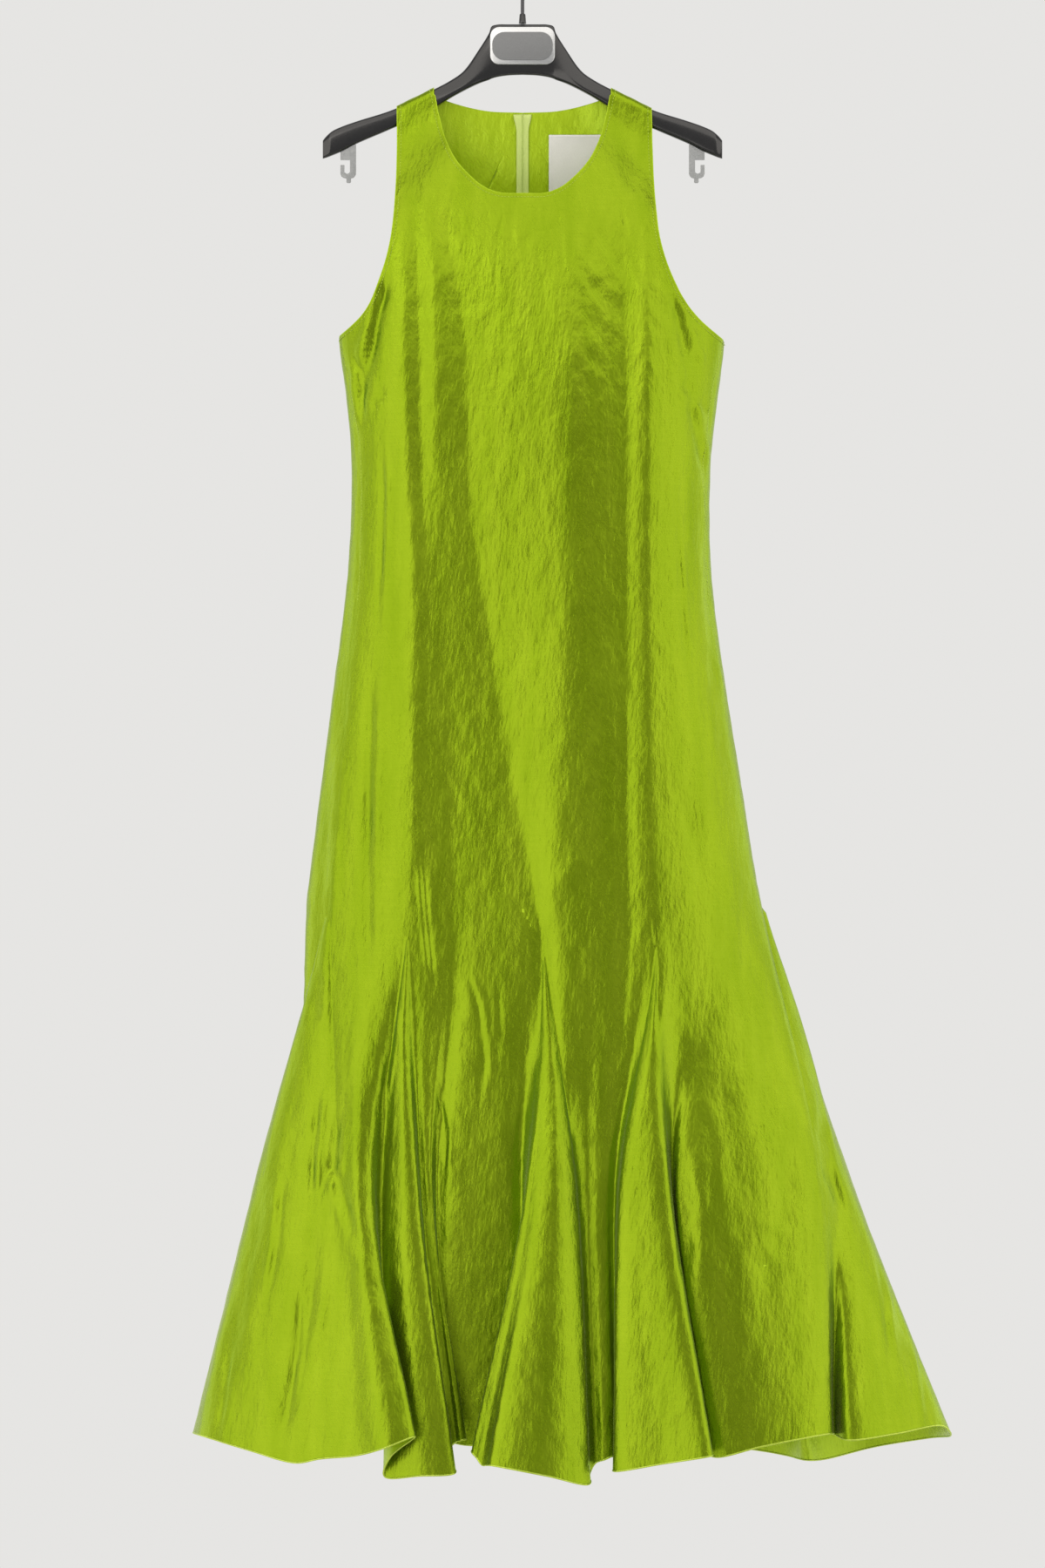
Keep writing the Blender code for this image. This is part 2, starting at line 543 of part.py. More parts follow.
def add_strip(points, pieces, i, strip, columns):
    """Points and faces of one strip, from the strap down to the hem."""
    side_out = RIGHT_ARMHOLE[0] if strip.side == "right" else LEFT_ARMHOLE[0]
    neck = (FRONT_NECK if strip.face == "front" else BACK_NECK)[0]
    top = -(TORSO_ROWS + YOKE_ROWS + len(WRAP_ANGLES))
    names = []
    for k, (name, share, apex, place) in enumerate(columns):
        across = 1 - math.cos(math.radians(90 * share)) ** (2 / SQUARENESS)
        bust = mix(side_out.drop, neck.drop, across ** YOKE_DIP)
        shared = {0: ("godet", i, GODETS[i].columns), len(columns) - 1: ("godet", (i + 1) % 8, 0)}.get(k)
        alias = {}
        for row in range(1, SKIRT_ROWS + 1):
            if shared:
                alias[row] = shared + (row,)
            else:
                points[name + (row,)] = skirt_point((strip.face, strip.side, share, apex), place,
                                                    row / SKIRT_ROWS)
        edge_name = {0: ("line", i), len(columns) - 1: ("line", (i + 1) % 8)}.get(k, name)
        if shared:
            alias[0] = ("apex", i if k == 0 else (i + 1) % 8)
        else:
            points[name + (0,)] = torso_point(column_turn(strip.face, strip.side, share, apex), apex)
        for row in range(1, TORSO_ROWS + 1):
            drop = mix(apex, bust, row / TORSO_ROWS)
            points[edge_name + (-row,)] = torso_point(
                column_turn(strip.face, strip.side, share, drop), drop)
        half = edge_name if share != 1.0 else edge_name + (strip.side,)
        if share == 0.0:
            half = edge_name + (strip.face,)
        for row in range(1, YOKE_ROWS + 1):
            points[half + (-TORSO_ROWS - row,)] = yoke_point(strip.face, strip.side, across,
                                                            row / YOKE_ROWS)
        x = points[half + (-TORSO_ROWS - YOKE_ROWS,)][0]
        for row, angle in enumerate(WRAP_ANGLES, start=1):
            points[half + (-TORSO_ROWS - YOKE_ROWS - row,)] = strap_point(strip.face, x, angle)
        names.append((edge_name, half, name, alias))

    def key(column, row):
        edge_name, half, name, alias = column
        if row in alias:
            return alias[row]
        if row < -TORSO_ROWS:
            return half + (row,)
        return (edge_name if row < 0 else name) + (row,)

    faces = pieces.setdefault(strip.piece, [])
    for a, b in zip(names, names[1:]):
        for row in range(top, SKIRT_ROWS):
            faces.append((key(a, row), key(a, row + 1), key(b, row + 1), key(b, row)))


# ---------------------------------------------------------------- cloth to wall
def point_normals(points, pieces):
    """Outward direction at every point, over all the pieces that meet there."""
    normals = {name: np.zeros(3) for name in points}
    for faces in pieces.values():
        for face in faces:
            corners = [to_space(points[name]) for name in face]
            across = np.cross(corners[2] - corners[0], corners[-1] - corners[1])
            for name in face:
                normals[name] += across / np.linalg.norm(across)
    tips = {name: ("apex",) + name[1:] for name in points if name[0] == "tip"}
    for tip, apex in tips.items():
        normals[tip] = normals[apex]
    return {name: n / max(np.linalg.norm(n), 1e-9) for name, n in normals.items()}


def to_space(point):
    """Turn (x, depth, drop) into x, y, z in metres."""
    return np.array((point[0], point[1], -point[2])) * MM


def seam_allowance(faces, places, normals):
    """Draw a piece in by half a seam gap along all of its edges."""
    edges = {}
    for face in faces:
        for a, b in zip(face, face[1:] + face[:1]):
            edges[(a, b)] = True
    rims = [(a, b) for a, b in edges if (b, a) not in edges]
    inward = {}
    for a, b in rims:
        run = places[b] - places[a]
        for name in (a, b):
            side = np.cross(normals[name], run)
            inward.setdefault(name, []).append(side / np.linalg.norm(side))
    moved = dict(places)
    for name, sides in inward.items():
        total = sum(sides)
        spread = 1 + float(np.dot(sides[0], sides[-1]))
        moved[name] = places[name] + total / max(spread, 0.6) * (SEAM_GAP / 2) * MM
    return moved, rims


def triangles(face):
    """A face as triangles, so that both sides of a wall bend along one diagonal."""
    return [face] if len(face) == 3 else [(face[0], face[1], face[2]), (face[0], face[2], face[3])]


def cloth_wall(name, faces, points, normals, finish):
    """One piece of cloth as a closed wall of even thickness."""
    used = sorted({n for face in faces for n in face}, key=str)
    places = {n: to_space(points[n]) for n in used}
    moved, rims = seam_allowance(faces, places, normals)
    half = CLOTH / 2 * MM
    order = {n: i for i, n in enumerate(used)}
    count = len(used)
    vertices = [moved[n] + normals[n] * half for n in used] + [moved[n] - normals[n] * half for n in used]
    halves = [half_face for face in faces for half_face in triangles(face)]
    polygons = [[order[n] for n in face] for face in halves]
    polygons += [[order[n] + count for n in reversed(face)] for face in halves]
    polygons += [[order[b], order[a], order[a] + count, order[b] + count] for a, b in rims]
    return make_object(name, vertices, polygons, finish)


# ---------------------------------------------------------------- small objects
def material(name):
    """A Principled material with the finish's colour, roughness and metallic value."""
    if name in bpy.data.materials:
        return bpy.data.materials[name]
    finish = FINISHES[name]
    result = bpy.data.materials.new(name)
    result.use_nodes = True
    shader = result.node_tree.nodes["Principled BSDF"]
    shader.inputs["Base Color"].default_value = finish.colour
    shader.inputs["Roughness"].default_value = finish.roughness
    shader.inputs["Metallic"].default_value = finish.metallic
    return result


def link_mesh(name, mesh, finish):
    """Put a mesh into the scene under its name and finish."""
    mesh.materials.append(material(finish))
    mesh.shade_smooth()
    mesh.set_sharp_from_angle(angle=math.radians(40))
    thing = bpy.data.objects.new(name, mesh)
    bpy.context.collection.objects.link(thing)
    return thing


def make_object(name, vertices, polygons, finish):
    """A mesh object from points in metres and polygons of their numbers."""
    mesh = bpy.data.meshes.new(name)
    mesh.from_pydata([tuple(v) for v in vertices], [], polygons)
    mesh.validate()
    return link_mesh(name, mesh, finish)


def make_slab(name, outline, near, far, finish):
    """A flat piece: an outline of (x, z) in mm between two depths, facing -Y."""
    work = bmesh.new()
    front = work.faces.new([work.verts.new((x * MM, near * MM, z * MM)) for x, z in outline])
    block = bmesh.ops.extrude_face_region(work, geom=[front])
    moved = [v for v in block["geom"] if isinstance(v, bmesh.types.BMVert)]
    bmesh.ops.translate(work, verts=moved, vec=(0, (far - near) * MM, 0))
    bmesh.ops.recalc_face_normals(work, faces=work.faces)
    mesh = bpy.data.meshes.new(name)
    work.to_mesh(mesh)
    work.free()
    return link_mesh(name, mesh, finish)


def rounded_box(width, height, corner, centre_drop, steps=5):
    """Outline of a box with round corners, as (x, z) pairs."""
    outline = []
    for quarter in range(4):
        sx, sz = ((1, 1), (-1, 1), (-1, -1), (1, -1))[quarter]
        for step in range(steps + 1):
            angle = math.radians(90 * quarter + 90 * step / steps)
            outline.append((sx * (width / 2 - corner) + corner * math.cos(angle),
                            -centre_drop + sz * (height / 2 - corner) + corner * math.sin(angle)))
    return outline


def strip_wall(name, rows, thickness, finish):
    """A thin band from rows of (x, y, z) points in mm, thickened to the back."""
    width = len(rows[0])
    near = [np.array(p) * MM for row in rows for p in row]
    far = [p + np.array((0, thickness * MM, 0)) for p in near]
    count = len(near)
    polygons = []
    for r in range(len(rows) - 1):
        for c in range(width - 1):
            a, b = r * width + c, r * width + c + 1
            d, e = a + width, b + width
            polygons += [[a, d, e, b], [b + count, e + count, d + count, a + count]]
    last = (len(rows) - 1) * width
    loop = (list(range(width)) + [r * width + width - 1 for r in range(1, len(rows))]
            + [last + c for c in range(width - 2, -1, -1)] + [r * width for r in range(len(rows) - 2, 0, -1)])
    polygons += [[a, b, b + count, a + count] for a, b in zip(loop, loop[1:] + loop[:1])]
    return make_object(name, near + far, polygons, finish)


# ------------------------------------------------------------ zip, label, hanger
def back_surface(points, pieces):
    """Search tree of the back's cloth, for what is sewn onto it."""
    faces = [half for name in ("back_left", "back_right") for face in pieces[name]
             for half in triangles(face)]
    order = {name: i for i, name in enumerate({n for face in faces for n in face})}
    return BVHTree.FromPolygons([to_space(points[n]) for n in order],
                                [[order[n] for n in face] for face in faces])


def back_y(surface, x, drop):
    """Depth in mm of the middle of the back's wall."""
    hit = surface.ray_cast(Vector((x * MM, 1.0, -drop * MM)), Vector((0, -1, 0)))
    return hit[0].y / MM


def inside_back(surface, x, drop, thickness):
    """Near face of a band that lies inside the back, clear of the cloth."""
    return (x, back_y(surface, x, drop) - CLOTH / 2 - BAND_GAP - thickness, -drop)


def make_zip_tape(surface, points):
    """Tape inside the centre back, from the neck edge to below the waist."""
    top = BACK_NECK[0].drop + 1.5
    centre_drops = sorted(p[2] for name, p in points.items()
                          if name[:2] == ("line", BACK_CENTRE) and name[-1] < 0)
    drops = [top] + [d for d in centre_drops if top + 5 < d < top + ZIP_LENGTH] + [top + ZIP_LENGTH]
    bands = []
    for drop in drops:
        half = ZIP_HALF + 3.0 * smooth_step((top + 16 - drop) / 16)
        centre = torso_point(table_value(SEAM_TURNS, drop, "back"), drop)[0]
        bands.append([inside_back(surface, centre + half * k, drop, TAPE) for k in (-1, 0, 1)])
    strip_wall("zip_tape", bands, TAPE, "zip_tape")


def make_zip_pull(surface):
    """Slider and pull tab outside the centre back, leaning as the cloth does."""
    drop = BACK_NECK[0].drop + 9
    high, low = back_y(surface, 0.5, drop - 6), back_y(surface, 0.5, drop + 24)
    lean = math.atan2(low - high, 30)
    rest = (0, back_y(surface, 0.5, drop) + CLOTH / 2 + SLIDER_GAP, -drop)
    rail, floor, length = SLIDER_HALF - 1.1, 1.6, 9.0
    section = [(-SLIDER_HALF, 0), (SLIDER_HALF, 0), (SLIDER_HALF, PULL_AXIS + 1), (rail, PULL_AXIS + 1),
               (rail, floor), (-rail, floor), (-rail, PULL_AXIS + 1), (-SLIDER_HALF, PULL_AXIS + 1)]
    slider = make_slab("zip_slider", [(x, y) for x, y in section], -length / 2, length / 2, "zip_metal")
    slider.rotation_euler = (math.radians(-90) + lean, 0, 0)
    slider.location = [value * MM for value in rest]

    tab = [(-1.9, 1.0), (-1.9, -6.5), (-3.0, -9), (-3.0, -21), (-1.8, -23),
           (1.8, -23), (3.0, -21), (3.0, -9), (1.9, -6.5), (1.9, 1.0)]
    pull = make_slab("zip_pull", tab, -0.6, 0.6, "zip_metal")
    pull.rotation_euler = (lean, 0, 0)
    pull.location = [value * MM for value in (0, rest[1] + PULL_AXIS * math.cos(lean),
                                              rest[2] + PULL_AXIS * math.sin(lean))]


def make_label(surface):
    """Bare woven label sewn inside the back neck, beside the zip."""
    left, right, top, bottom = 26.0, 88.0, 182.0, 240.0
    rows = [[inside_back(surface, x, drop, LABEL) for x in np.linspace(left, right, 6)]
            for drop in np.linspace(top, bottom, 6)]
    strip_wall("neck_label", rows, LABEL, "label_satin")


def arm_section(arm, side):
    """Stadium-shaped section of the hanger at one station."""
    x = arm.out * side
    steps = 4
    section = []
    for end, centre in ((0, arm.top + ARM_HALF), (180, arm.bottom - ARM_HALF)):
        for step in range(steps + 1):
            angle = math.radians(end + 180 * step / steps)
            section.append((x, -ARM_HALF * math.cos(angle), -centre + ARM_HALF * math.sin(angle)))
    return section


def make_hanger_body():
    """Moulded body: sections swept from the left arm's tip to the right's."""
    stations = [arm_section(arm, -1) for arm in reversed(HANGER[1:])]
    stations += [arm_section(arm, 1) for arm in HANGER]
    count = len(stations[0])
    vertices = [np.array(p) * MM for section in stations for p in section]
    polygons = []
    for s in range(len(stations) - 1):
        for k in range(count):
            a, b = s * count + k, s * count + (k + 1) % count
            polygons.append([a, a + count, b + count, b])
    last = (len(stations) - 1) * count
    polygons.append(list(range(count)))
    polygons.append([last + k for k in reversed(range(count))])
    body = make_object("hanger_body", vertices, polygons, "black_plastic")
    work = bmesh.new()
    work.from_mesh(body.data)
    bmesh.ops.recalc_face_normals(work, faces=work.faces)
    work.to_mesh(body.data)
    work.free()


def make_badge():
    """Bright rim and bare grey plate on the hanger's front."""
    rim_near = -ARM_HALF - SEAM_GAP - BADGE["depth"]
    outline = rounded_box(BADGE["width"], BADGE["height"], BADGE["corner"], BADGE_CENTRE)
    make_slab("hanger_badge_rim", outline, rim_near, rim_near + BADGE["depth"], "badge_rim")
    plate_near = rim_near - SEAM_GAP - PLATE["depth"]
    outline = rounded_box(PLATE["width"], PLATE["height"], PLATE["corner"], BADGE_CENTRE + 1)
    make_slab("hanger_badge_plate", outline, plate_near, plate_near + PLATE["depth"], "badge_plate")


def make_hook():
    """Wire hook: a straight stem, then an arc whose inner top is the origin."""
    centre, radius = -HOOK_RADIUS, HOOK_RADIUS + WIRE_RADIUS
    route = [(0, -HANGER[0].top + SEAM_GAP), (0, -60), (0, -52), (2.6, -45.2)]
    route += [(radius * math.cos(math.radians(a)), centre + radius * math.sin(math.radians(a)))
              for a in range(-62, 209, 15)]
    wire = bpy.data.curves.new("hanger_hook", "CURVE")
    wire.dimensions = "3D"
    wire.bevel_depth = WIRE_RADIUS * MM
    wire.bevel_resolution = 2
    wire.use_fill_caps = True
    spline = wire.splines.new("POLY")
    spline.points.add(len(route) - 1)
    for point, (x, z) in zip(spline.points, route):
        point.co = (x * MM, 0, z * MM, 1)
    hook = bpy.data.objects.new("hanger_hook", wire)
    wire.materials.append(material("hook_metal"))
    bpy.context.collection.objects.link(hook)


def make_ferrule():
    """Collar that the hook's stem turns in."""
    hole, steps = WIRE_RADIUS + SEAM_GAP, 16
    profile = [(hole, -FERRULE_TOP), (2.9, -FERRULE_TOP), (3.7, -FERRULE_BOTTOM), (hole, -FERRULE_BOTTOM)]
    vertices, polygons = [], []
    for step in range(steps):
        angle = 2 * math.pi * step / steps
        vertices += [np.array((r * math.cos(angle), r * math.sin(angle), z)) * MM for r, z in profile]
    ring = len(profile)
    for step in range(steps):
        here, there = step * ring, (step + 1) % steps * ring
        for k in range(ring):
            m = (k + 1) % ring
            polygons.append([here + k, here + m, there + m, there + k])
    make_object("hanger_ferrule", vertices, polygons, "black_plastic")


def arm_bottom(out):
    """Drop of the hanger arm's underside at a distance from the centre."""
    return float(np.interp(out, [arm.out for arm in HANGER], [arm.bottom for arm in HANGER]))


def make_clip(name, side):
    """Strap clip under an arm: a leg that turns out and up into a short lip."""
    outline = [(CLIP_OUT, arm_bottom(CLIP_OUT) + SEAM_GAP)] + CLIP_OUTLINE
    outline += [(CLIP_TIP, arm_bottom(CLIP_TIP) + SEAM_GAP)]
    make_slab(name, [(side * out, -drop) for out, drop in outline], -CLIP_HALF, CLIP_HALF, "clip_plastic")


def main():
    for thing in list(bpy.data.objects):
        bpy.data.objects.remove(thing, do_unlink=True)
    points, pieces = lay_out_cloth()
    normals = point_normals(points, pieces)
    for name, faces in pieces.items():
        cloth_wall(name, faces, points, normals, "taffeta")
    surface = back_surface(points, pieces)
    make_zip_tape(surface, points)
    make_zip_pull(surface)
    make_label(surface)
    make_hanger_body()
    make_badge()
    make_hook()
    make_ferrule()
    make_clip("hanger_clip_left", -1)
    make_clip("hanger_clip_right", 1)


main()
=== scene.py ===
# %% [markdown]
# # A taffeta maxi dress on its hanger
# The object is a sleeveless, round-necked maxi dress of lime shot taffeta.  Its hem
# flares because triangles of cloth, called godets, are let into the skirt.  It hangs
# from a black moulded hanger.  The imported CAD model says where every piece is, and
# this script gives each piece its finished form and its finish.

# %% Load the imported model
import math
from collections import namedtuple

import bmesh
import bpy
import numpy as np
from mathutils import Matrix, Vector, noise
from mathutils.bvhtree import BVHTree


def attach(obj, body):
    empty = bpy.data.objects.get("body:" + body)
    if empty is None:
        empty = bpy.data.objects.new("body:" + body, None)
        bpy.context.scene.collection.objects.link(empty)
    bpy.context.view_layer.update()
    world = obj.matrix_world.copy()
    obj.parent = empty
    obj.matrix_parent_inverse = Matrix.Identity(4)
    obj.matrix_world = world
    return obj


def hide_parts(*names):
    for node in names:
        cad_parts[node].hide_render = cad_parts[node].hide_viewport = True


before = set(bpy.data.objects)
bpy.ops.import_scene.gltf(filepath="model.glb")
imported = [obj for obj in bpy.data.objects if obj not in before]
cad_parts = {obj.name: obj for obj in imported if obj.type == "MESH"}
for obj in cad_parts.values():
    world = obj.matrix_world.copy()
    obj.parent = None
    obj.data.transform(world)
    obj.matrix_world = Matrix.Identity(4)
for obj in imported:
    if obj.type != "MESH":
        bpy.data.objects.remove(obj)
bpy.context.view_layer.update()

MM = 0.001

# %% [markdown]
# ## Camera
# The photograph was taken straight on from a long way off, so that the hanger's arms
# and the hem look square.  A camera 5.5 m away with a long lens repeats that.

# %% Camera at the photograph's angle
VIEW_DISTANCE = 5.5
VIEW_DROP = 0.8232          # the picture's middle, below the hook
FRAME_HEIGHT = 1.5444       # what the picture takes in at the dress, in metres
SENSOR = 36.0

lens = bpy.data.cameras.new("camera")
lens.sensor_fit = "VERTICAL"
lens.sensor_width = SENSOR
lens.sensor_height = SENSOR
lens.lens = SENSOR * VIEW_DISTANCE / FRAME_HEIGHT
camera = bpy.data.objects.new("camera", lens)
camera.location = (0, -VIEW_DISTANCE, -VIEW_DROP)
camera.rotation_euler = (math.radians(90), 0, 0)
bpy.context.collection.objects.link(camera)
bpy.context.scene.camera = camera
print("camera lens in mm:", round(lens.lens, 1))

# %% [markdown]
# ## The cut of the dress
# A dressmaker works from a few measures at named heights.  These tables are the same
# ones that the solids were drafted from, in millimetres.  "Drop" is a distance below
# the hook, and a "turn" goes round the body from the left side (-90) past the front
# (0) to the right side (90) and the back (180).

# %% Body and seam tables
def table(kind, *rows):
    """Rows of one kind of named tuple."""
    return [kind(*row) for row in rows]


Level = namedtuple("Level", "drop left right front back")
TORSO = table(      # half widths to the left and right, depths in front and behind
    Level,
    (137, 178, 196, 9, 10), (165, 179, 197, 12, 15), (200, 180, 198, 25, 22), (250, 181, 199, 40, 32),
    (310, 182, 199, 52, 42), (385, 181, 199, 60, 50), (446, 173, 192, 64, 52), (514, 168, 185, 66, 52),
    (617, 172, 186, 68, 54), (720, 185, 199, 72, 58), (823, 198, 215, 78, 64), (926, 211, 232, 86, 72),
    (990, 220, 250, 92, 78))
SEAM_TURNS = table(     # turns of the side seams, and of the centre lines in front and behind
    Level,
    (384, -86, 86, 0.0, 180.0), (440, -74, 74, 0.2, 180.0), (600, -68, 77, 0.8, 179.8),
    (950, -59, 88, 2.5, 178.8))
CLOTH = 0.7                 # finished thickness with its seam allowances
SQUARENESS = 2.5            # plan section of the body, 2 is an ellipse
YOKE_DIP = 1.9              # how low the yoke's rows stay beside the armhole
ARM_HALF = 5.5              # half thickness of the hanger
STRAP_RADIUS = 6.9          # middle of the strap round the hanger's arm
KINK_DROP = 1209.0          # height where the skirt folds bend
print("torso rows:", len(TORSO))

# %% [markdown]
# The cloth doesn't hang smooth.  It drops from the neck and the straps in broad flats
# that meet along soft or hard lines.  Each line below is drawn down the front or the
# back as (drop, across, rise): rise is how far the cloth stands out there beyond the
# plain body.  Between two lines the cloth is nearly flat, and `soft` says how gently
# it turns over the line.

# %% Lines of the folds on the body
FoldLine = namedtuple("FoldLine", "name soft path")
LEFT_SIDE = FoldLine("left_side", 10, [(200, -150, 0), (400, -158, 0), (965, -196, 0)])
RIGHT_SIDE = FoldLine("right_side", 10, [(200, 160, 0), (400, 178, 0), (965, 222, 0)])
FRONT_LINES = [
    LEFT_SIDE,
    FoldLine("left_crest", 3.5, [(200, -124, 0), (300, -117, 2.0), (420, -115, 3.5), (530, -113, 4.0),
                                 (600, -107, 4.2), (830, -108, 5.5), (943, -110, 6.0)]),
    FoldLine("left_trough", 3, [(200, -112, 0), (300, -103, -1.5), (420, -100, -2.5), (530, -99, -2.0),
                                (600, -94, -0.6), (700, -94, 0.5), (943, -96, 3.0)]),
    FoldLine("streak_crest", 4, [(220, -100, 0), (320, -86, 0.8), (420, -86, 0.4), (500, -86, -1.7),
                                 (600, -78, -3.4), (700, -74, -3.2), (943, -66, -2.2)]),
    FoldLine("band_edge", 3, [(225, -86, 0), (250, -84, -0.5), (308, -70, -3.5), (394, -56, -5.5),
                              (480, -54, -6.5), (566, -50, -6.5), (652, -37, -6.5), (737, -22, -5.5),
                              (823, -9, -4.5), (909, 9, -2.5), (965, 19, 0)]),
    FoldLine("band_crest", 9, [(255, 51, 0), (308, 51, 4.0), (394, 47, 7.5), (566, 47, 8.5), (652, 43, 8.5),
                               (737, 41, 8.5), (823, 34, 8.0), (909, 27, 7.5), (965, 22, 5.0)]),
    FoldLine("flank_trough", 10, [(240, 84, 0), (320, 84, 1.5), (480, 84, 5.0), (700, 84, 7.0),
                                  (900, 80, 7.0), (965, 78, 6.0)]),
    FoldLine("stripe_root", 2, [(240, 99, 0), (340, 100, 2.2), (480, 101, 4.6), (740, 101, 6.6),
                                (900, 102, 6.6), (965, 104, 6.0)]),
    FoldLine("stripe_crest", 2, [(240, 110, 0), (340, 111, 5.4), (480, 111, 9.0), (740, 112, 10.6),
                                 (900, 113, 10.4), (965, 115, 9.4)]),
    FoldLine("right_fold", 2.2, [(190, 119, 0), (260, 121, 4.0), (340, 122, 9.0), (500, 122, 12.6),
                                 (740, 122, 13.4), (880, 125, 13.2), (965, 129, 12.0)]),
    RIGHT_SIDE,
]
BACK_LINES = [
    LEFT_SIDE,
    FoldLine("left_fold", 3, [(200, -116, 0), (300, -110, 5.0), (560, -108, 8.0), (800, -112, 8.5),
                              (950, -118, 7.0)]),
    FoldLine("left_flat", 6, [(220, -84, 0), (340, -78, 1.0), (560, -72, 0.5), (950, -66, 1.0)]),
    FoldLine("left_band", 4, [(230, -50, 0), (340, -44, -2.5), (560, -36, -4.5), (800, -30, -3.0),
                              (950, -24, 0)]),
    FoldLine("seam", 6, [(200, 0, 0), (400, 0, -1.5), (700, 2, -2.0), (975, 4, 0)]),
    FoldLine("right_band", 5, [(230, 40, 0), (340, 44, 4.0), (560, 46, 6.5), (800, 42, 6.0),
                               (950, 36, 3.0)]),
    FoldLine("right_flat", 8, [(220, 82, 0), (340, 84, 1.0), (560, 88, 2.5), (950, 84, 3.5)]),
    FoldLine("right_fold", 3, [(200, 117, 0), (300, 118, 5.0), (560, 120, 9.0), (800, 124, 9.0),
                               (950, 128, 8.0)]),
    RIGHT_SIDE,
]
print("fold lines:", len(FRONT_LINES), "front,", len(BACK_LINES), "back")

# %% [markdown]
# The skirt's folds are given at two heights: where they bend, at the knee, and at the
# hem.  Every godet hangs from its apex between two of these folds.

# %% Skirt tables
Fold = namedtuple("Fold", "name start_drop end_drop kink hem")
FOLDS = [
    Fold("side_left", 1459, 1478,
         ((-254, -48), (-226, -70), (-198, -83), (-181, -90)),
         ((-310, -58), (-264, -93), (-219, -113), (-195, -122))),
    Fold("lobe_edge", 1468, 1449,
         ((-172, -96), (-160, -105), (-147, -101), (-137, -86)),
         ((-159, -137), (-131, -153), (-103, -144), (-127, -125))),
    Fold("tube_left", 1492, 1487,
         ((-127, -94), (-114, -103), (-102, -101), (-98, -88)),
         ((-133, -108), (-99, -122), (-65, -118), (-75, -97))),
    Fold("sliver", 1460, 1458,
         ((-93, -89), (-90, -89), (-88, -89), (-83, -82)),
         ((-64, -89), (-60, -91), (-55, -89), (-68, -77))),
    Fold("panel_left", 1466, 1469,
         ((-71, -87), (-42, -88), (-12, -88), (0, -86)),
         ((-58, -66), (-34, -66), (-10, -68), (3, -78))),
    Fold("facet", 1465, 1477,
         ((4, -115), (6, -118), (9, -119), (12, -121)),
         ((-49, -126), (-44, -133), (-39, -138), (-35, -143))),
    Fold("tube_centre", 1476, 1496,
         ((17, -123.5), (33, -124.5), (50, -113), (54, -102)),
         ((-30, -150), (24, -152.5), (64, -134), (65, -118))),
    Fold("panel_centre", 1478, 1472,
         ((62, -97), (72, -98), (82, -97), (90, -94)),
         ((71, -111), (79, -113), (88, -111), (95, -106))),
    Fold("tube_right", 1483, 1466,
         ((95, -115), (112, -122), (140, -122), (145, -98)),
         ((88, -138), (134, -150), (181, -157), (173, -104))),
    Fold("panel_right", 1472, 1452,
         ((150, -106.5), (195, -106.5), (284, -71), (296, -60)),
         ((188, -117.5), (230, -117), (299, -92), (303, -73))),
    Fold("lobe_right", 1458, 1450,
         ((304, -49), (311, -44), (318, -33), (322, 0)),
         ((316, -96), (362, -78), (409, -42), (422, -4))),
    Fold("back_lobe_right", 1477, 1498,
         ((308, 64), (277, 76), (246, 64), (234, 54)),
         ((405, 83), (354, 101), (302, 83), (284, 70))),
    Fold("back_fin_right", 1497, 1490,
         ((220, 79), (202, 85), (184, 79), (172, 64)),
         ((266, 104), (243, 112), (220, 104), (204, 82))),
    Fold("back_tube_right", 1490, 1484,
         ((158, 97), (141, 103), (124, 97), (111, 78)),
         ((190, 129), (164, 139), (138, 129), (122, 94))),
    Fold("back_panel_right", 1476, 1480,
         ((97, 80), (74, 88), (52, 80), (40, 78)),
         ((106, 100), (84, 108), (62, 100), (48, 96))),
    Fold("back_tube_centre", 1488, 1490,
         ((28, 102), (4, 110), (-20, 102), (-34, 80)),
         ((34, 138), (0, 150), (-34, 138), (-50, 98))),
    Fold("back_panel_left", 1478, 1474,
         ((-48, 80), (-69, 88), (-90, 80), (-102, 74)),
         ((-66, 100), (-89, 108), (-112, 100), (-128, 90))),
    Fold("back_tube_left", 1484, 1488,
         ((-114, 95), (-132, 101), (-150, 95), (-164, 66)),
         ((-144, 125), (-170, 135), (-196, 125), (-212, 88))),
    Fold("back_fin_left", 1480, 1474,
         ((-178, 76), (-189, 80), (-200, 76), (-212, 56)),
         ((-226, 97), (-244, 103), (-262, 97), (-274, 74))),
    Fold("back_lobe_left", 1474, 1466,
         ((-224, 46), (-237, 50), (-250, 46), (-261, 8)),
         ((-284, 59), (-298, 65), (-312, 59), (-325, 10))),
]
MIDDLE, END, VALLEY = 1, 2, 3       # places inside one fold, counted from its start
GODET_ARCH = 0.3         # near its apex a godet is a plain arch, this share of its width deep
ARCH_UNTIL = 0.12        # share of its way to the hem down to which it is only that
Godet = namedtuple("Godet", "name face side share apex from_fold from_place to_fold to_place columns")
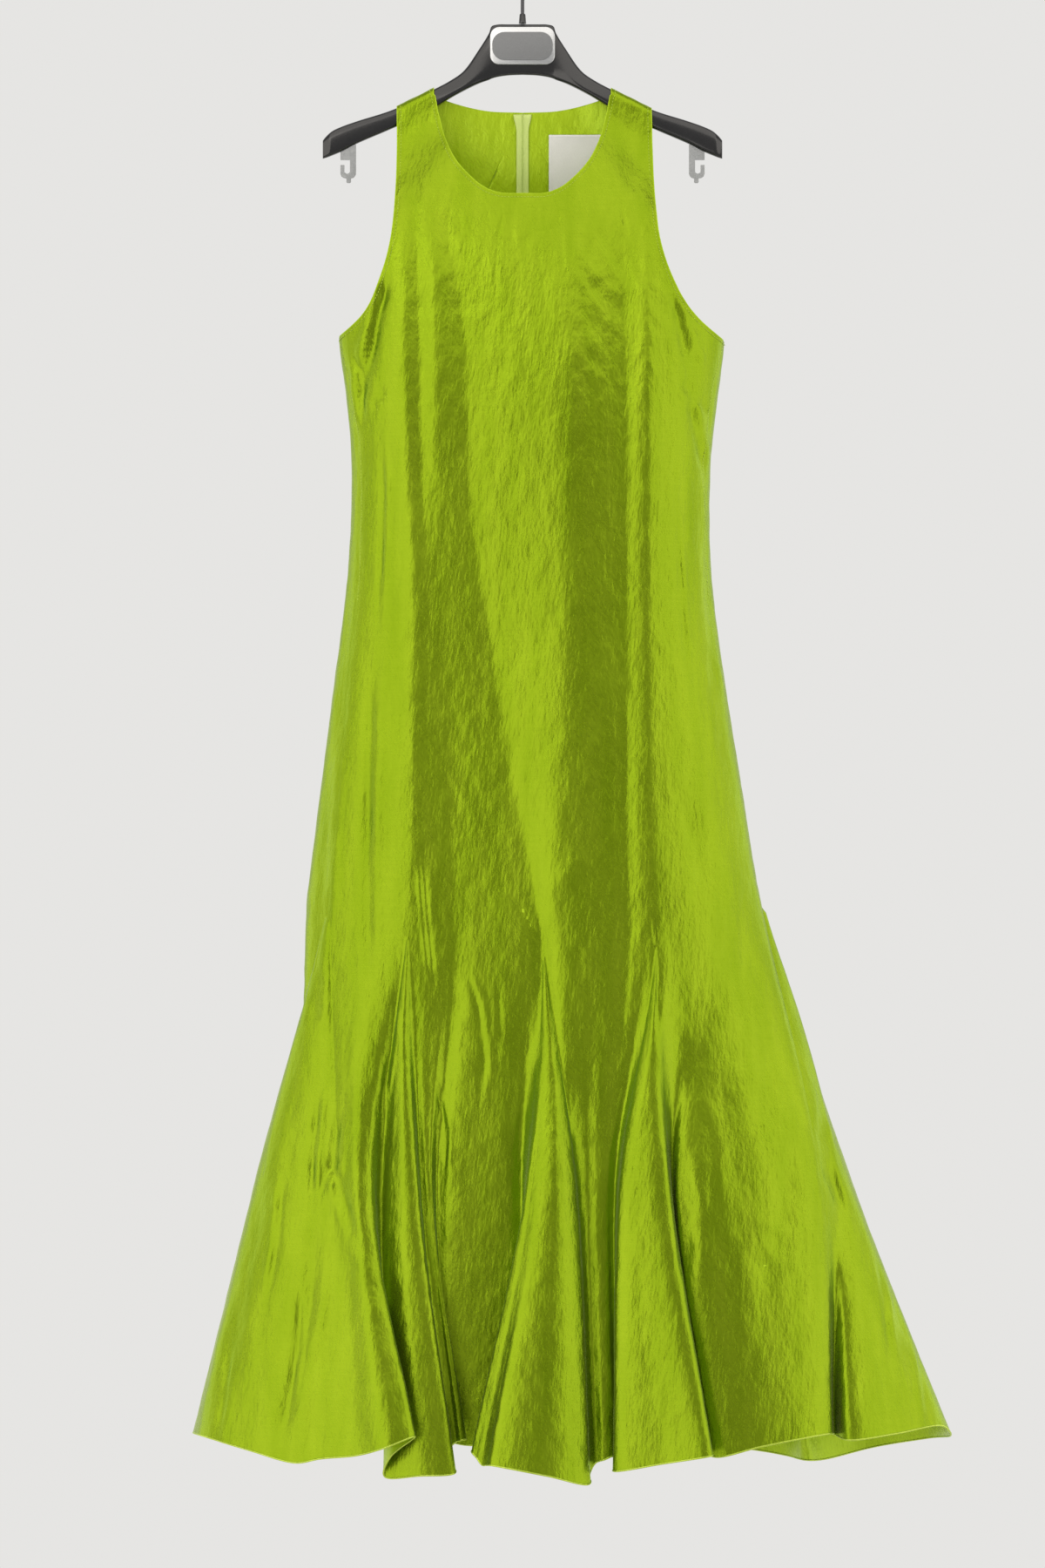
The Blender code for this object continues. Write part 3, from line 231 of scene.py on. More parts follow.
GODETS = [
    Godet("godet_side_left", "front", "left", 0.0, 922,
          "back_lobe_left", END, "side_left", VALLEY, 10),
    Godet("godet_front_left", "front", "left", 0.54, 943, "lobe_edge", 2.6, "tube_left", 2.6, 8),
    Godet("godet_front_centre", "front", "left", 1.0, 965, "panel_left", 3.5, "tube_centre", 2.5, 14),
    Godet("godet_front_right", "front", "right", 0.706, 952,
          "panel_centre", 3.5, "tube_right", 2.5, 8),
    Godet("godet_side_right", "front", "right", 0.0, 913,
          "panel_right", 2.5, "back_lobe_right", MIDDLE, 15),
    Godet("godet_back_right", "back", "right", 0.742, 950,
          "back_fin_right", 3.5, "back_tube_right", 2.5, 7),
    Godet("godet_back_centre", "back", "right", 1.0, 975,
          "back_panel_right", 3.5, "back_tube_centre", 2.5, 7),
    Godet("godet_back_left", "back", "left", 0.761, 950,
          "back_panel_left", 3.5, "back_tube_left", 2.5, 7),
]
Strip = namedtuple("Strip", "piece face side columns")
STRIPS = [
    Strip("front", "front", "left", 7), Strip("front", "front", "left", 15),
    Strip("front", "front", "right", 10), Strip("front", "front", "right", 8),
    Strip("back_right", "back", "right", 10), Strip("back_right", "back", "right", 9),
    Strip("back_left", "back", "left", 9), Strip("back_left", "back", "left", 12),
]
print("folds:", len(FOLDS), "godets:", len(GODETS))

# %% Neckline, armholes and hanger tables
Edge = namedtuple("Edge", "out drop")
FRONT_NECK = [Edge(0, 245.7), Edge(23, 244.9), Edge(38, 238.9), Edge(51.5, 227.7),
              Edge(66, 210.6), Edge(76.5, 188), Edge(82.5, 165), Edge(87.5, 146.5)]
BACK_NECK = [Edge(0, 160.8), Edge(34, 159.4), Edge(64, 153.2), Edge(80, 148.4), Edge(87.5, 146.5)]
LEFT_ARMHOLE = [Edge(181, 384), Edge(171, 377), Edge(158.7, 366), Edge(147.6, 351), Edge(140, 330),
                Edge(133, 308), Edge(127.8, 282), Edge(124.5, 245), Edge(123.2, 200),
                Edge(123.4, 164)]
RIGHT_ARMHOLE = [Edge(199, 388), Edge(187, 380), Edge(171.6, 367), Edge(158.7, 351),
                 Edge(147.6, 330), Edge(139, 308), Edge(133.5, 285), Edge(129.5, 245),
                 Edge(127.6, 200), Edge(126.8, 166)]
Arm = namedtuple("Arm", "out top bottom")
HANGER = [
    Arm(0, 75, 124.8), Arm(14, 75, 125.4), Arm(25, 75.2, 127), Arm(30.5, 77, 128.6),
    Arm(33, 83.6, 129.8), Arm(43, 99.9, 133.5), Arm(58.3, 121.3, 141), Arm(72, 131, 148.5),
    Arm(86, 138.5, 157), Arm(126, 158.5, 176.5), Arm(163, 170.5, 192.5), Arm(178.5, 176, 200.4),
    Arm(187, 180, 204), Arm(193, 185, 206.3), Arm(197.5, 190.5, 207.6),
]
print("hanger stations:", len(HANGER))

# %% [markdown]
# ## From tables to points
# NumPy evaluates a whole grid of cloth at once.  `table_value` reads one column of a
# table smoothly, and `relief` adds up the fold lines: each line bends the cloth by the
# difference between the slopes on its two sides, over a rounded corner.

# %% Small geometry helpers
def mix(a, b, share):
    """Straight blend from a to b."""
    return a + (b - a) * share


def hermite(start, start_slope, end, end_slope, t):
    """Cubic from start to end with the given slopes, at t from 0 to 1."""
    t2, t3 = t * t, t * t * t
    return ((2 * t3 - 3 * t2 + 1) * start + (t3 - 2 * t2 + t) * start_slope
            + (3 * t2 - 2 * t3) * end + (t3 - t2) * end_slope)


def smooth_step(t):
    """0 to 1 with level ends."""
    t = np.clip(t, 0.0, 1.0)
    return t * t * (3 - 2 * t)


def table_value(rows, drop, column):
    """Smooth value of one table column at drops, which may be an array."""
    drops = np.array([row.drop for row in rows], float)
    values = np.array([getattr(row, column) for row in rows], float)
    numbers = np.arange(len(rows))
    low, high = np.maximum(numbers - 1, 0), np.minimum(numbers + 1, len(rows) - 1)
    slopes = (values[high] - values[low]) / (drops[high] - drops[low])
    at = np.clip(drop, drops[0], drops[-1])
    i = np.clip(np.searchsorted(drops, at, side="right") - 1, 0, len(drops) - 2)
    step = drops[i + 1] - drops[i]
    return hermite(values[i], slopes[i] * step, values[i + 1], slopes[i + 1] * step, (at - drops[i]) / step)


def power(value, exponent):
    """Signed power, for the squared-off ellipse."""
    return np.sign(value) * np.abs(value) ** exponent


def relief(face, x, drop):
    """How far the fold lines lift the cloth outward at (x, drop)."""
    lines = FRONT_LINES if face == "front" else BACK_LINES
    drop = np.broadcast_to(drop, np.shape(x)).astype(float)
    across, rise = ([np.interp(drop, [p[0] for p in line.path], [p[k] for p in line.path])
                     for line in lines] for k in (1, 2))
    slopes = [(rise[i + 1] - rise[i]) / (across[i + 1] - across[i]) for i in range(len(lines) - 1)]
    slopes = [0 * drop] + slopes + [0 * drop]
    total = 0 * drop
    for i, line in enumerate(lines):
        off = x - across[i]
        total = total + (slopes[i + 1] - slopes[i]) * (off + np.sqrt(off * off + line.soft ** 2)) / 2
    return total


sample = relief("front", np.array([-48.0, 47.0, 122.0]), 480.0)
print("relief at three lines, in mm:", np.round(sample, 1))

# %% Body surface
def half_width(x, drop):
    """Half width of the body on the side where x lies."""
    return np.where(x > 0, table_value(TORSO, drop, "right"), table_value(TORSO, drop, "left"))


def body_depth(face, x, drop):
    """Depth (y) of the body's front or back at a place in front view."""
    reach = np.clip(np.abs(x) / half_width(x, drop), 0, 1.0)
    cosine = (1 - reach ** SQUARENESS) ** (1 / SQUARENESS)
    depth = table_value(TORSO, drop, face) * cosine
    depth = depth + relief(face, x, drop) * smooth_step(cosine ** (SQUARENESS / 2) / 0.3)
    return -depth if face == "front" else depth


def torso_point(turn, drop):
    """Points of the body at turns round it, as (x, depth, drop)."""
    sine, cosine = np.sin(np.radians(turn)), np.cos(np.radians(turn))
    x = half_width(sine, drop) * power(sine, 2 / SQUARENESS)
    depths = {}
    for face in ("front", "back"):
        depth = table_value(TORSO, drop, face) * np.abs(cosine) ** (2 / SQUARENESS)
        depths[face] = depth + relief(face, x, drop) * smooth_step(np.abs(cosine) / 0.3)
    y = np.where(cosine > 0, -depths["front"], depths["back"])
    return np.stack(np.broadcast_arrays(x, y, drop), axis=-1).astype(float)


def column_turn(face, side, share, drop):
    """Turn of a column of cloth, between its side seam and its centre line."""
    seam = table_value(SEAM_TURNS, drop, side)
    centre = table_value(SEAM_TURNS, drop, face)
    if face == "back" and side == "left":
        seam = seam + 360.0
    return mix(seam, centre, share)


print("waist, right side:", np.round(torso_point(80.0, 514.0), 1))

# %% Skirt surface
def centripetal(p0, p1, p2, p3, t):
    """Smooth curve from p1 to p2 that doesn't overshoot at uneven spacing."""
    d0, d1, d2 = (max(np.linalg.norm(b - a) ** 0.5, 1e-6) for a, b in ((p0, p1), (p1, p2), (p2, p3)))
    slope1 = (p1 - p0) / d0 - (p2 - p0) / (d0 + d1) + (p2 - p1) / d1
    slope2 = (p2 - p1) / d1 - (p3 - p1) / (d1 + d2) + (p3 - p2) / d2
    return hermite(p1, slope1 * d1, p2, slope2 * d1, t)


def fold_stations(level):
    """The ring's points at the kink or the hem: four for each fold."""
    stations = []
    for i, fold in enumerate(FOLDS):
        following = FOLDS[(i + 1) % len(FOLDS)]
        drops = [fold.start_drop, mix(fold.start_drop, fold.end_drop, 0.5), fold.end_drop,
                 mix(fold.end_drop, following.start_drop, 0.5)]
        if level == "kink":
            drops = [KINK_DROP] * 4
        stations += [np.array((x, depth, drop)) for (x, depth), drop in zip(getattr(fold, level), drops)]
    return stations


STATIONS = {level: fold_stations(level) for level in ("kink", "hem")}


def ring_point(level, place):
    """Point of the kink ring or the hem at a place counted in stations."""
    points = STATIONS[level]
    i = math.floor(place)
    around = [points[(i + k) % len(points)] for k in (-1, 0, 1, 2)]
    return centripetal(*around, place - i)


def place_of(fold_name, part):
    """Ring place of a part of a named fold."""
    return [fold.name for fold in FOLDS].index(fold_name) * 4 + part


def godet_ends(i):
    """Ring places of a godet's two sewing lines; the first godet starts below 0."""
    godet = GODETS[i]
    first = place_of(godet.from_fold, godet.from_place)
    last = place_of(godet.to_fold, godet.to_place)
    return (first - 4 * len(FOLDS), last) if first > last else (first, last)


def skirt_column(face, side, share, apex, place, falls, ends=None):
    """A column of the skirt at an array of falls, 0 at the hip line and 1 at the hem."""
    fall = falls[:, None]
    hip, above = (torso_point(column_turn(face, side, share, d), d) for d in (apex, apex - 20.0))
    kink, hem = ring_point("kink", place), ring_point("hem", place)
    kinks = np.broadcast_to(kink, (len(falls), 3))
    if ends:
        first, last = (ring_point("kink", end) for end in ends)
        along = (place - ends[0]) / (ends[1] - ends[0])
        run = last - first
        outward = np.array((run[1], -run[0], 0.0))
        arch = mix(first, last, along) + outward * GODET_ARCH * 4 * along * (1 - along)
        kinks = mix(arch, kink, smooth_step((fall - ARCH_UNTIL) / (0.5 - ARCH_UNTIL)))
    body_slope = (hip - above) / 20 * (kinks[:, 2:] - apex)
    hip_slope = mix(kinks - hip, body_slope, 0.5)
    kink_slope = (hem - hip) / 2
    upper = hermite(hip, hip_slope, kinks, kink_slope, fall * 2)
    lower = hermite(kinks, kink_slope, hem, hem - kinks, fall * 2 - 1)
    return np.where(fall < 0.5, upper, lower)


print("hem point of the centre godet:", np.round(ring_point("hem", place_of("tube_centre", MIDDLE)), 1))

# %% Yoke, armholes and straps
def edge_curve(edges, shares):
    """Points along an edge table at shares of its length, as (out, drop)."""
    points = [np.array(edge, dtype=float) for edge in edges]
    points = [2 * points[0] - points[1]] + points + [2 * points[-1] - points[-2]]
    dense = [centripetal(*points[i:i + 4], t / 12)
             for i in range(len(points) - 3) for t in range(12)] + [points[-2]]
    dense = np.array(dense)
    lengths = np.concatenate(([0.0], np.cumsum(np.linalg.norm(np.diff(dense, axis=0), axis=1))))
    return np.stack([np.interp(shares * lengths[-1], lengths, dense[:, axis]) for axis in (0, 1)], axis=-1)


def arm_top(out):
    """Drop of the hanger arm's top at a distance from the centre."""
    return np.interp(np.abs(out), [arm.out for arm in HANGER], [arm.top for arm in HANGER])


def strap_rows(face, x, angles):
    """Rows of the strap's wall round the hanger's arm."""
    lean = np.radians(angles)[:, None]
    depth = STRAP_RADIUS * np.cos(lean) * (-1 if face == "front" else 1)
    drop = arm_top(x)[None, :] + ARM_HALF - STRAP_RADIUS * np.sin(lean)
    return np.stack(np.broadcast_arrays(x[None, :], depth, drop), axis=-1)


def yoke_rows(face, side, across, rises):
    """Rows above the bust line, from armhole to neck."""
    armhole = edge_curve(RIGHT_ARMHOLE if side == "right" else LEFT_ARMHOLE, rises)
    neck = edge_curve(FRONT_NECK if face == "front" else BACK_NECK, rises)
    sign = 1 if side == "right" else -1
    rise, across = rises[:, None], across[None, :]
    x = sign * mix(armhole[:, :1], neck[:, :1], across)
    drop = mix(armhole[:, 1:], neck[:, 1:], across ** mix(YOKE_DIP, 1.0, rise))
    depth = body_depth(face, x, drop)
    strap_drop = arm_top(x) + ARM_HALF
    strap_depth = STRAP_RADIUS * (-1 if face == "front" else 1)
    depth = mix(depth, strap_depth, smooth_step((rise - 0.55) / 0.45))
    drop = mix(drop, strap_drop, smooth_step((rise - 0.9) / 0.1))
    return np.stack((x, depth, drop), axis=-1)


foot = yoke_rows("front", "left", np.array([0.0, 1.0]), np.array([1.0]))
print("strap foot:", np.round(foot, 1).tolist())

# %% [markdown]
# ## Laying out the cloth
# Each piece is a grid of columns (across) and rows (down).  Neighbouring pieces share
# the points on their sewing line, so the seams close, and the direction in which the
# cloth faces is averaged over both sides of a seam.

# %% Grids of the godets
PANEL_FINER, GODET_FINER = 5, 8    # columns for each column of the solid
SKIRT_ROWS, TORSO_ROWS, YOKE_ROWS = 97, 100, 40
WRAP_ANGLES = np.array([18.0, 36.0, 54.0, 72.0, 89.0])

store = []                  # blocks of points
count_of_points = 0


def keep(points):
    """Store a grid of points and return its numbers."""
    global count_of_points
    flat = np.asarray(points, float).reshape(-1, 3)
    numbers = np.arange(count_of_points, count_of_points + len(flat)).reshape(np.shape(points)[:-1])
    store.append(flat)
    count_of_points += len(flat)
    return numbers


grids = {}                  # piece: list of number grids, top row first
falls = np.arange(1, SKIRT_ROWS + 1) / SKIRT_ROWS
apexes, godet_grids = [], []
for i, godet in enumerate(GODETS):
    ends = godet_ends(i)
    places = np.linspace(*ends, godet.columns * GODET_FINER + 1)
    columns = [skirt_column(godet.face, godet.side, godet.share, godet.apex, place, falls, ends)
               for place in places]
    numbers = keep(np.stack(columns, axis=1))
    apex_turn = column_turn(godet.face, godet.side, godet.share, godet.apex)
    apex = keep(torso_point(apex_turn, float(godet.apex))[None, :])
    godet_grids.append(numbers)
    apexes.append(apex[0])
    grids[godet.name] = [np.vstack((np.full(len(places), apex[0]), numbers))]
print("godet points:", count_of_points)


# %% Grids of the panels
def strip_shares(strip, before, after):
    """Shares at the two ends of a strip; godets on a seam or centre line are 0 or 1."""
    toward_centre = (strip.face, strip.side) in (("front", "left"), ("back", "right"))
    start = before.share if before.share not in (0.0, 1.0) else (0.0 if toward_centre else 1.0)
    end = after.share if after.share not in (0.0, 1.0) else (1.0 if toward_centre else 0.0)
    return start, end


seam_lines, yoke_lines, strip_grids = {}, {}, []
for i, strip in enumerate(STRIPS):
    following = (i + 1) % len(GODETS)
    before, after = GODETS[i], GODETS[following]
    lap = 4 * len(FOLDS) if i == len(STRIPS) - 1 else 0
    along = np.linspace(0, 1, strip.columns * PANEL_FINER + 1)
    share = mix(*strip_shares(strip, before, after), along)
    apex = mix(before.apex, after.apex, along)
    place = mix(godet_ends(i)[1], godet_ends(following)[0] + lap, along)
    skirt = keep(np.stack([skirt_column(strip.face, strip.side, s, a, p, falls)
                           for s, a, p in zip(share, apex, place)], axis=1))
    skirt[:, 0], skirt[:, -1] = godet_grids[i][:, -1], godet_grids[following][:, 0]
    hip = keep(torso_point(column_turn(strip.face, strip.side, share, apex), apex))
    hip[0], hip[-1] = apexes[i], apexes[following]

    side_out = (RIGHT_ARMHOLE if strip.side == "right" else LEFT_ARMHOLE)[0]
    neck = (FRONT_NECK if strip.face == "front" else BACK_NECK)[0]
    across = 1 - np.cos(np.radians(90 * share)) ** (2 / SQUARENESS)
    bust = mix(side_out.drop, neck.drop, across ** YOKE_DIP)
    up = np.arange(1, TORSO_ROWS + 1)[::-1, None] / TORSO_ROWS
    drops = mix(apex[None, :], bust[None, :], up)
    torso = keep(torso_point(column_turn(strip.face, strip.side, share[None, :], drops), drops))
    for end, line in ((0, i), (-1, following)):
        torso[:, end] = seam_lines.setdefault(line, torso[:, end].copy())

    rises = (np.arange(1, YOKE_ROWS + 1) / YOKE_ROWS) ** 1.35
    yoke = yoke_rows(strip.face, strip.side, across, rises)
    wrap = strap_rows(strip.face, yoke[-1, :, 0], WRAP_ANGLES)
    yoke = keep(np.concatenate((wrap[::-1], yoke[::-1])))
    for end, line in ((0, i), (-1, following)):
        if 0.0 < share[end] < 1.0:
            yoke[:, end] = yoke_lines.setdefault(line, yoke[:, end].copy())
    strip_grids.append(np.vstack((yoke, torso, hip[None, :], skirt)))
    grids.setdefault(strip.piece, []).append(strip_grids[-1])
points = np.concatenate(store)
TOP_ROWS = len(WRAP_ANGLES) + YOKE_ROWS
print("cloth points:", len(points), "pieces:", len(grids), "rows:", strip_grids[0].shape[0])


# %% Faces, directions and seams
def grid_faces(numbers):
    """Quads of a grid, or triangles where two corners are the same point."""
    corners = (numbers[:-1, :-1], numbers[1:, :-1], numbers[1:, 1:], numbers[:-1, 1:])
    return np.stack(corners, axis=-1).reshape(-1, 4)


piece_faces = {name: np.concatenate([grid_faces(g) for g in parts]) for name, parts in grids.items()}
all_faces = np.concatenate(list(piece_faces.values()))
space = points * np.array((MM, MM, -MM))


def directions(places):
    """Outward direction of the cloth at every point."""
    a, b, c, d = (places[all_faces[:, k]] for k in range(4))
    across = np.cross(c - a, d - b)
    across /= np.maximum(np.linalg.norm(across, axis=1, keepdims=True), 1e-12)
    total = np.zeros_like(places)
    for k in range(4):
        np.add.at(total, all_faces[:, k], across)
    return total / np.maximum(np.linalg.norm(total, axis=1, keepdims=True), 1e-12)


outward = directions(space)
print("faces:", len(all_faces))

# %% [markdown]
# A seam pulls the cloth in a little and puckers it, because two thicknesses are sewn
# to one.  The cloth itself is crinkled: ridges a finger apart, uneven and shallow.

# %% Seam puckers and crinkles
SEAM_PINCH = 0.35           # how deep a seam lies, in mm
PUCKER = 0.2                # height of the puckers beside it
PUCKER_LENGTH = 11.0
SEAM_REACH = 14             # a seam is felt this far from it, in mm
sunk = np.zeros(len(points))


def pucker(numbers, from_left):
    """Lower the cloth beside one end of a grid and ripple it."""
    run = numbers if from_left else numbers[:, ::-1]
    steps = np.linalg.norm(np.diff(points[run], axis=1), axis=2)
    away = np.concatenate((np.zeros((len(run), 1)), np.cumsum(steps, axis=1)), axis=1)
    drop = points[run][:, :, 2]
    wave = np.sin(2 * np.pi * drop / PUCKER_LENGTH + 2.1 * np.sin(drop / 23.0) + 1.3 * np.sin(drop / 57.0))
    rise = PUCKER * wave * np.exp(-((away - 4) / 5) ** 2) * smooth_step(away / 2)
    rise -= SEAM_PINCH * np.exp(-(away / 2.6) ** 2)
    np.minimum.at(sunk, run[away < SEAM_REACH], rise[away < SEAM_REACH])


SEWN_ABOVE = {0, 4, 6}      # side seams and the centre back run on up the body
for numbers in godet_grids:
    pucker(numbers, True)
    pucker(numbers, False)
for i, numbers in enumerate(strip_grids):
    for line, from_left in ((i, True), ((i + 1) % len(GODETS), False)):
        first_row = TOP_ROWS if line in SEWN_ABOVE else TOP_ROWS + TORSO_ROWS + 1
        pucker(numbers[first_row:], from_left)


def crinkle(place):
    """Uneven creases of crushed taffeta at one place, in mm."""
    x, y, z = place
    broad = noise.noise(Vector((x * 14, y * 14, z * 4 + 3.0)))
    falling = noise.noise(Vector((x * 46 + z * 26, y * 46, z * 12 + 11.0)))
    crossing = noise.noise(Vector((x * 30 - z * 34, y * 30, z * 30 + 41.0)))
    fine = noise.noise(Vector((x * 105 - z * 40, y * 105, z * 60 + 29.0)))
    patch = 0.5 + 0.9 * noise.noise(Vector((x * 9 + 7.0, y * 9, z * 5)))
    return 0.7 * broad - patch * (0.85 * abs(falling) + 0.55 * abs(crossing)) + 0.28 * fine


rough = np.array([crinkle(place) for place in space.tolist()])
print("crinkles in mm:", round(float(rough.min()), 2), "to", round(float(rough.max()), 2))

# %% [markdown]
# The main creases are placed one by one, as the picture shows them, and similar ones
# lie on the back.  Each follows a path of (across, drop) points.  Its depth runs out
# at both ends.  A trough has a low lip on one side, as where cloth folds over.

# %% Crease tables
# Each row has a depth, a width and a lip in mm, then its path.  A negative depth is a ridge,
# and a negative lip lies on the left.
FRONT_CREASES = [
    (5.6, 5.0, -2.6, (-131, 322), (-137, 350), (-146, 388), (-156, 432), (-160, 452)),
    (2.7, 3.4, -1.8, (-166, 396), (-160, 420), (-158, 452), (-156, 480)),
    (2.4, 2.4, -1.7, (-151, 464), (-140, 447), (-131, 434)),
    (1.7, 3.0, 1.4, (-138, 480), (-136, 540), (-138, 600), (-143, 690)),
    (3.2, 5.5, 1.4, (-147, 700), (-150, 800), (-151, 900), (-150, 1040)),
    (2.4, 3.6, 1.2, (188, 466), (166, 442), (146, 424)),
    (2.4, 3.8, 1.5, (146, 340), (155, 382), (167, 436)),
    (1.8, 3.6, 1.2, (158, 372), (166, 400), (174, 432)),
    (2.4, 4.2, 1.4, (161, 434), (168, 470), (176, 506), (182, 540)),
    (1.0, 2.0, 0.8, (150, 560), (156, 640), (160, 720)),
    (0.9, 2.0, 0.8, (-20, 262), (-24, 300), (-27, 350)),
    (0.9, 1.8, 0.8, (-8, 256), (-10, 280), (-9, 312)),
    (0.8, 1.8, -0.6, (12, 254), (16, 290), (14, 330)),
    (0.9, 2.0, 0.8, (30, 246), (38, 284), (40, 330)),
    (0.9, 2.0, 0.6, (-58, 226), (-70, 262), (-74, 300)),
    (0.9, 2.2, -0.6, (74, 214), (96, 256), (106, 300)),
    (1.4, 3.0, -1.0, (-98, 880), (-92, 960), (-84, 1030)),
    (-1.4, 5.0, -0.8, (66, 888), (45, 913), (22, 938)),
    (1.4, 2.4, 1.0, (-12, 930), (4, 952), (16, 975)),
    (1.5, 2.8, 1.2, (-60, 990), (-42, 1040), (-36, 1096), (-46, 1150)),
    (1.2, 2.2, -0.9, (-24, 1010), (-22, 1060), (-30, 1110)),
    (1.4, 2.4, 0.9, (-86, 1100), (-74, 1160), (-76, 1220)),
    (2.2, 3.2, 1.8, (208, 1238), (224, 1270), (240, 1312)),
    (1.8, 3.0, -1.5, (260, 1232), (248, 1270), (236, 1318)),
    (1.5, 3.0, 1.2, (176, 1130), (186, 1190), (182, 1250)),
    (1.7, 3.4, -1.2, (230, 1060), (238, 1130), (256, 1200)),
    (2.0, 3.4, 1.5, (-196, 1110), (-204, 1180), (-206, 1250)),
    (1.7, 3.4, -1.2, (-232, 1190), (-238, 1270), (-252, 1350)),
    (1.5, 3.0, 1.2, (-214, 1290), (-218, 1370), (-230, 1450)),
    (1.4, 3.0, 1.0, (-286, 1360), (-290, 1420), (-300, 1470)),
    (1.5, 2.8, 1.0, (-120, 1010), (-128, 1080), (-138, 1150)),
    (1.5, 3.0, 1.2, (124, 930), (132, 1000), (130, 1080)),
    (1.5, 3.2, 1.2, (344, 1260), (354, 1330), (360, 1400)),
    (1.4, 3.0, -1.0, (384, 1350), (392, 1410), (398, 1460)),
    (2.4, 5.0, 1.6, (-180, 1140), (-184, 1190), (-206, 1236)),
    (2.2, 5.0, -1.4, (-186, 1184), (-172, 1230), (-150, 1290)),
    (2.4, 5.0, 1.6, (288, 1140), (296, 1200), (318, 1246)),
    (3.2, 11.0, 2.4, (-296, 1180), (-306, 1280), (-326, 1390), (-334, 1460)),
    (2.8, 9.0, -2.0, (-248, 1150), (-262, 1260), (-284, 1370), (-300, 1470)),
    (2.4, 8.0, 1.8, (-200, 1220), (-206, 1320), (-226, 1420), (-238, 1480)),
    (2.0, 7.0, 1.6, (-188, 760), (-194, 880), (-202, 1000), (-206, 1100)),
    (1.6, 6.0, -1.2, (-170, 560), (-174, 680), (-182, 800)),
    (1.3, 14.0, 0.8, (150, 810), (168, 880), (186, 960)),
    (1.2, 10.0, 0.8, (188, 1090), (204, 1170), (222, 1250)),
    (1.4, 9.0, -1.0, (266, 1150), (252, 1220), (236, 1300), (232, 1380)),
    (2.4, 8.0, 1.8, (150, 1160), (160, 1240), (156, 1320)),
    (2.6, 9.0, 2.0, (356, 1240), (368, 1320), (380, 1410)),
    (1.8, 6.0, 1.4, (176, 560), (184, 660), (188, 760)),
]
BACK_CREASES = [
    (4.5, 6.5, -3.0, (-131, 330), (-139, 372), (-150, 424), (-156, 452)),
    (2.1, 6.5, -1.5, (-151, 470), (-138, 452), (-126, 438)),
    (2.1, 6.5, 1.5, (190, 466), (168, 446), (148, 430)),
    (2.4, 6.5, 1.8, (146, 350), (156, 390), (166, 440)),
    (1.7, 6.5, -1.2, (-26, 262), (-30, 320), (-28, 380), (-20, 440)),
    (1.5, 6.5, 1.2, (24, 256), (28, 320), (24, 390), (18, 470)),
    (1.4, 6.5, 1.0, (-60, 300), (-66, 400), (-62, 500)),
    (1.5, 6.5, 1.2, (64, 420), (72, 540), (68, 660)),
    (1.5, 6.5, -1.2, (-90, 640), (-96, 760), (-92, 880)),
    (1.8, 6.5, 1.4, (-30, 900), (-22, 960), (-28, 1030)),
    (1.8, 6.5, -1.4, (96, 900), (106, 970), (102, 1050)),
    (1.8, 6.5, 1.5, (-206, 1120), (-216, 1210), (-222, 1300)),
    (1.7, 6.5, 1.4, (-70, 1150), (-62, 1230), (-68, 1310)),
    (1.7, 6.5, -1.4, (190, 1140), (204, 1220), (206, 1300)),
    (1.8, 6.5, 1.5, (300, 1240), (316, 1310), (326, 1390)),
    (3.0, 10.0, 2.2, (-296, 1190), (-306, 1290), (-326, 1400)),
    (2.6, 9.0, -2.0, (-150, 1060), (-160, 1150), (-154, 1250)),
    (2.6, 9.0, 2.0, (150, 1080), (162, 1170), (156, 1270)),
    (2.8, 10.0, -2.2, (262, 1170), (276, 1260), (300, 1350)),
    (2.0, 7.0, 1.6, (-186, 700), (-192, 820), (-200, 940)),
    (2.0, 7.0, -1.6, (180, 640), (188, 760), (196, 880)),
]
print("crease rows:", len(FRONT_CREASES), "front,", len(BACK_CREASES), "back")

# %% Raising the creases
RUN_OUT = 0.3       # share of a crease's length over which it fades at each end
PATH_STEPS = 40     # points on a crease's path
REACH = 4           # a crease is felt this many widths away
LIP_PLACE, LIP_WIDTH = 1.7, 0.9     # the lip's place and half width, in widths of the crease


def crease_rise(row, across, drop):
    """Rise in mm that a crease gives to points at (across, drop)."""
    depth, width, lip, *path = row
    path = np.array(path, float)
    knots, fine = np.linspace(0, 1, len(path)), np.linspace(0, 1, PATH_STEPS)
    line = np.column_stack([np.interp(fine, knots, path[:, k]) for k in (0, 1)])
    rise = np.zeros(len(across))
    low, high = line.min(axis=0) - REACH * width, line.max(axis=0) + REACH * width
    near = np.flatnonzero((across > low[0]) & (across < high[0]) & (drop > low[1]) & (drop < high[1]))
    if len(near) == 0:
        return rise
    spots = np.column_stack((across[near], drop[near]))
    step = np.diff(line, axis=0)
    from_start = spots[:, None, :] - line[None, :-1, :]
    along = np.clip((from_start * step).sum(2) / (step * step).sum(1), 0, 1)
    gap = from_start - along[:, :, None] * step
    distance = np.linalg.norm(gap, axis=2)
    nearest = distance.argmin(axis=1)
    rows = np.arange(len(near))
    share = (nearest + along[rows, nearest]) / len(step)
    side = np.sign(step[nearest, 1] * gap[rows, nearest, 0] - step[nearest, 0] * gap[rows, nearest, 1])
    off = distance[rows, nearest] * side
    swell = smooth_step(share / RUN_OUT) * smooth_step((1 - share) / RUN_OUT)
    swell *= 0.85 + 0.25 * np.sin(17 * share + width)       # a crease is uneven along its length
    trough = -depth * np.exp(-(off / width) ** 2)
    lip_off = (off - math.copysign(LIP_PLACE * width, lip)) / (LIP_WIDTH * width)
    rise[near] = swell * (trough + abs(lip) * np.exp(-lip_off ** 2))
    return rise


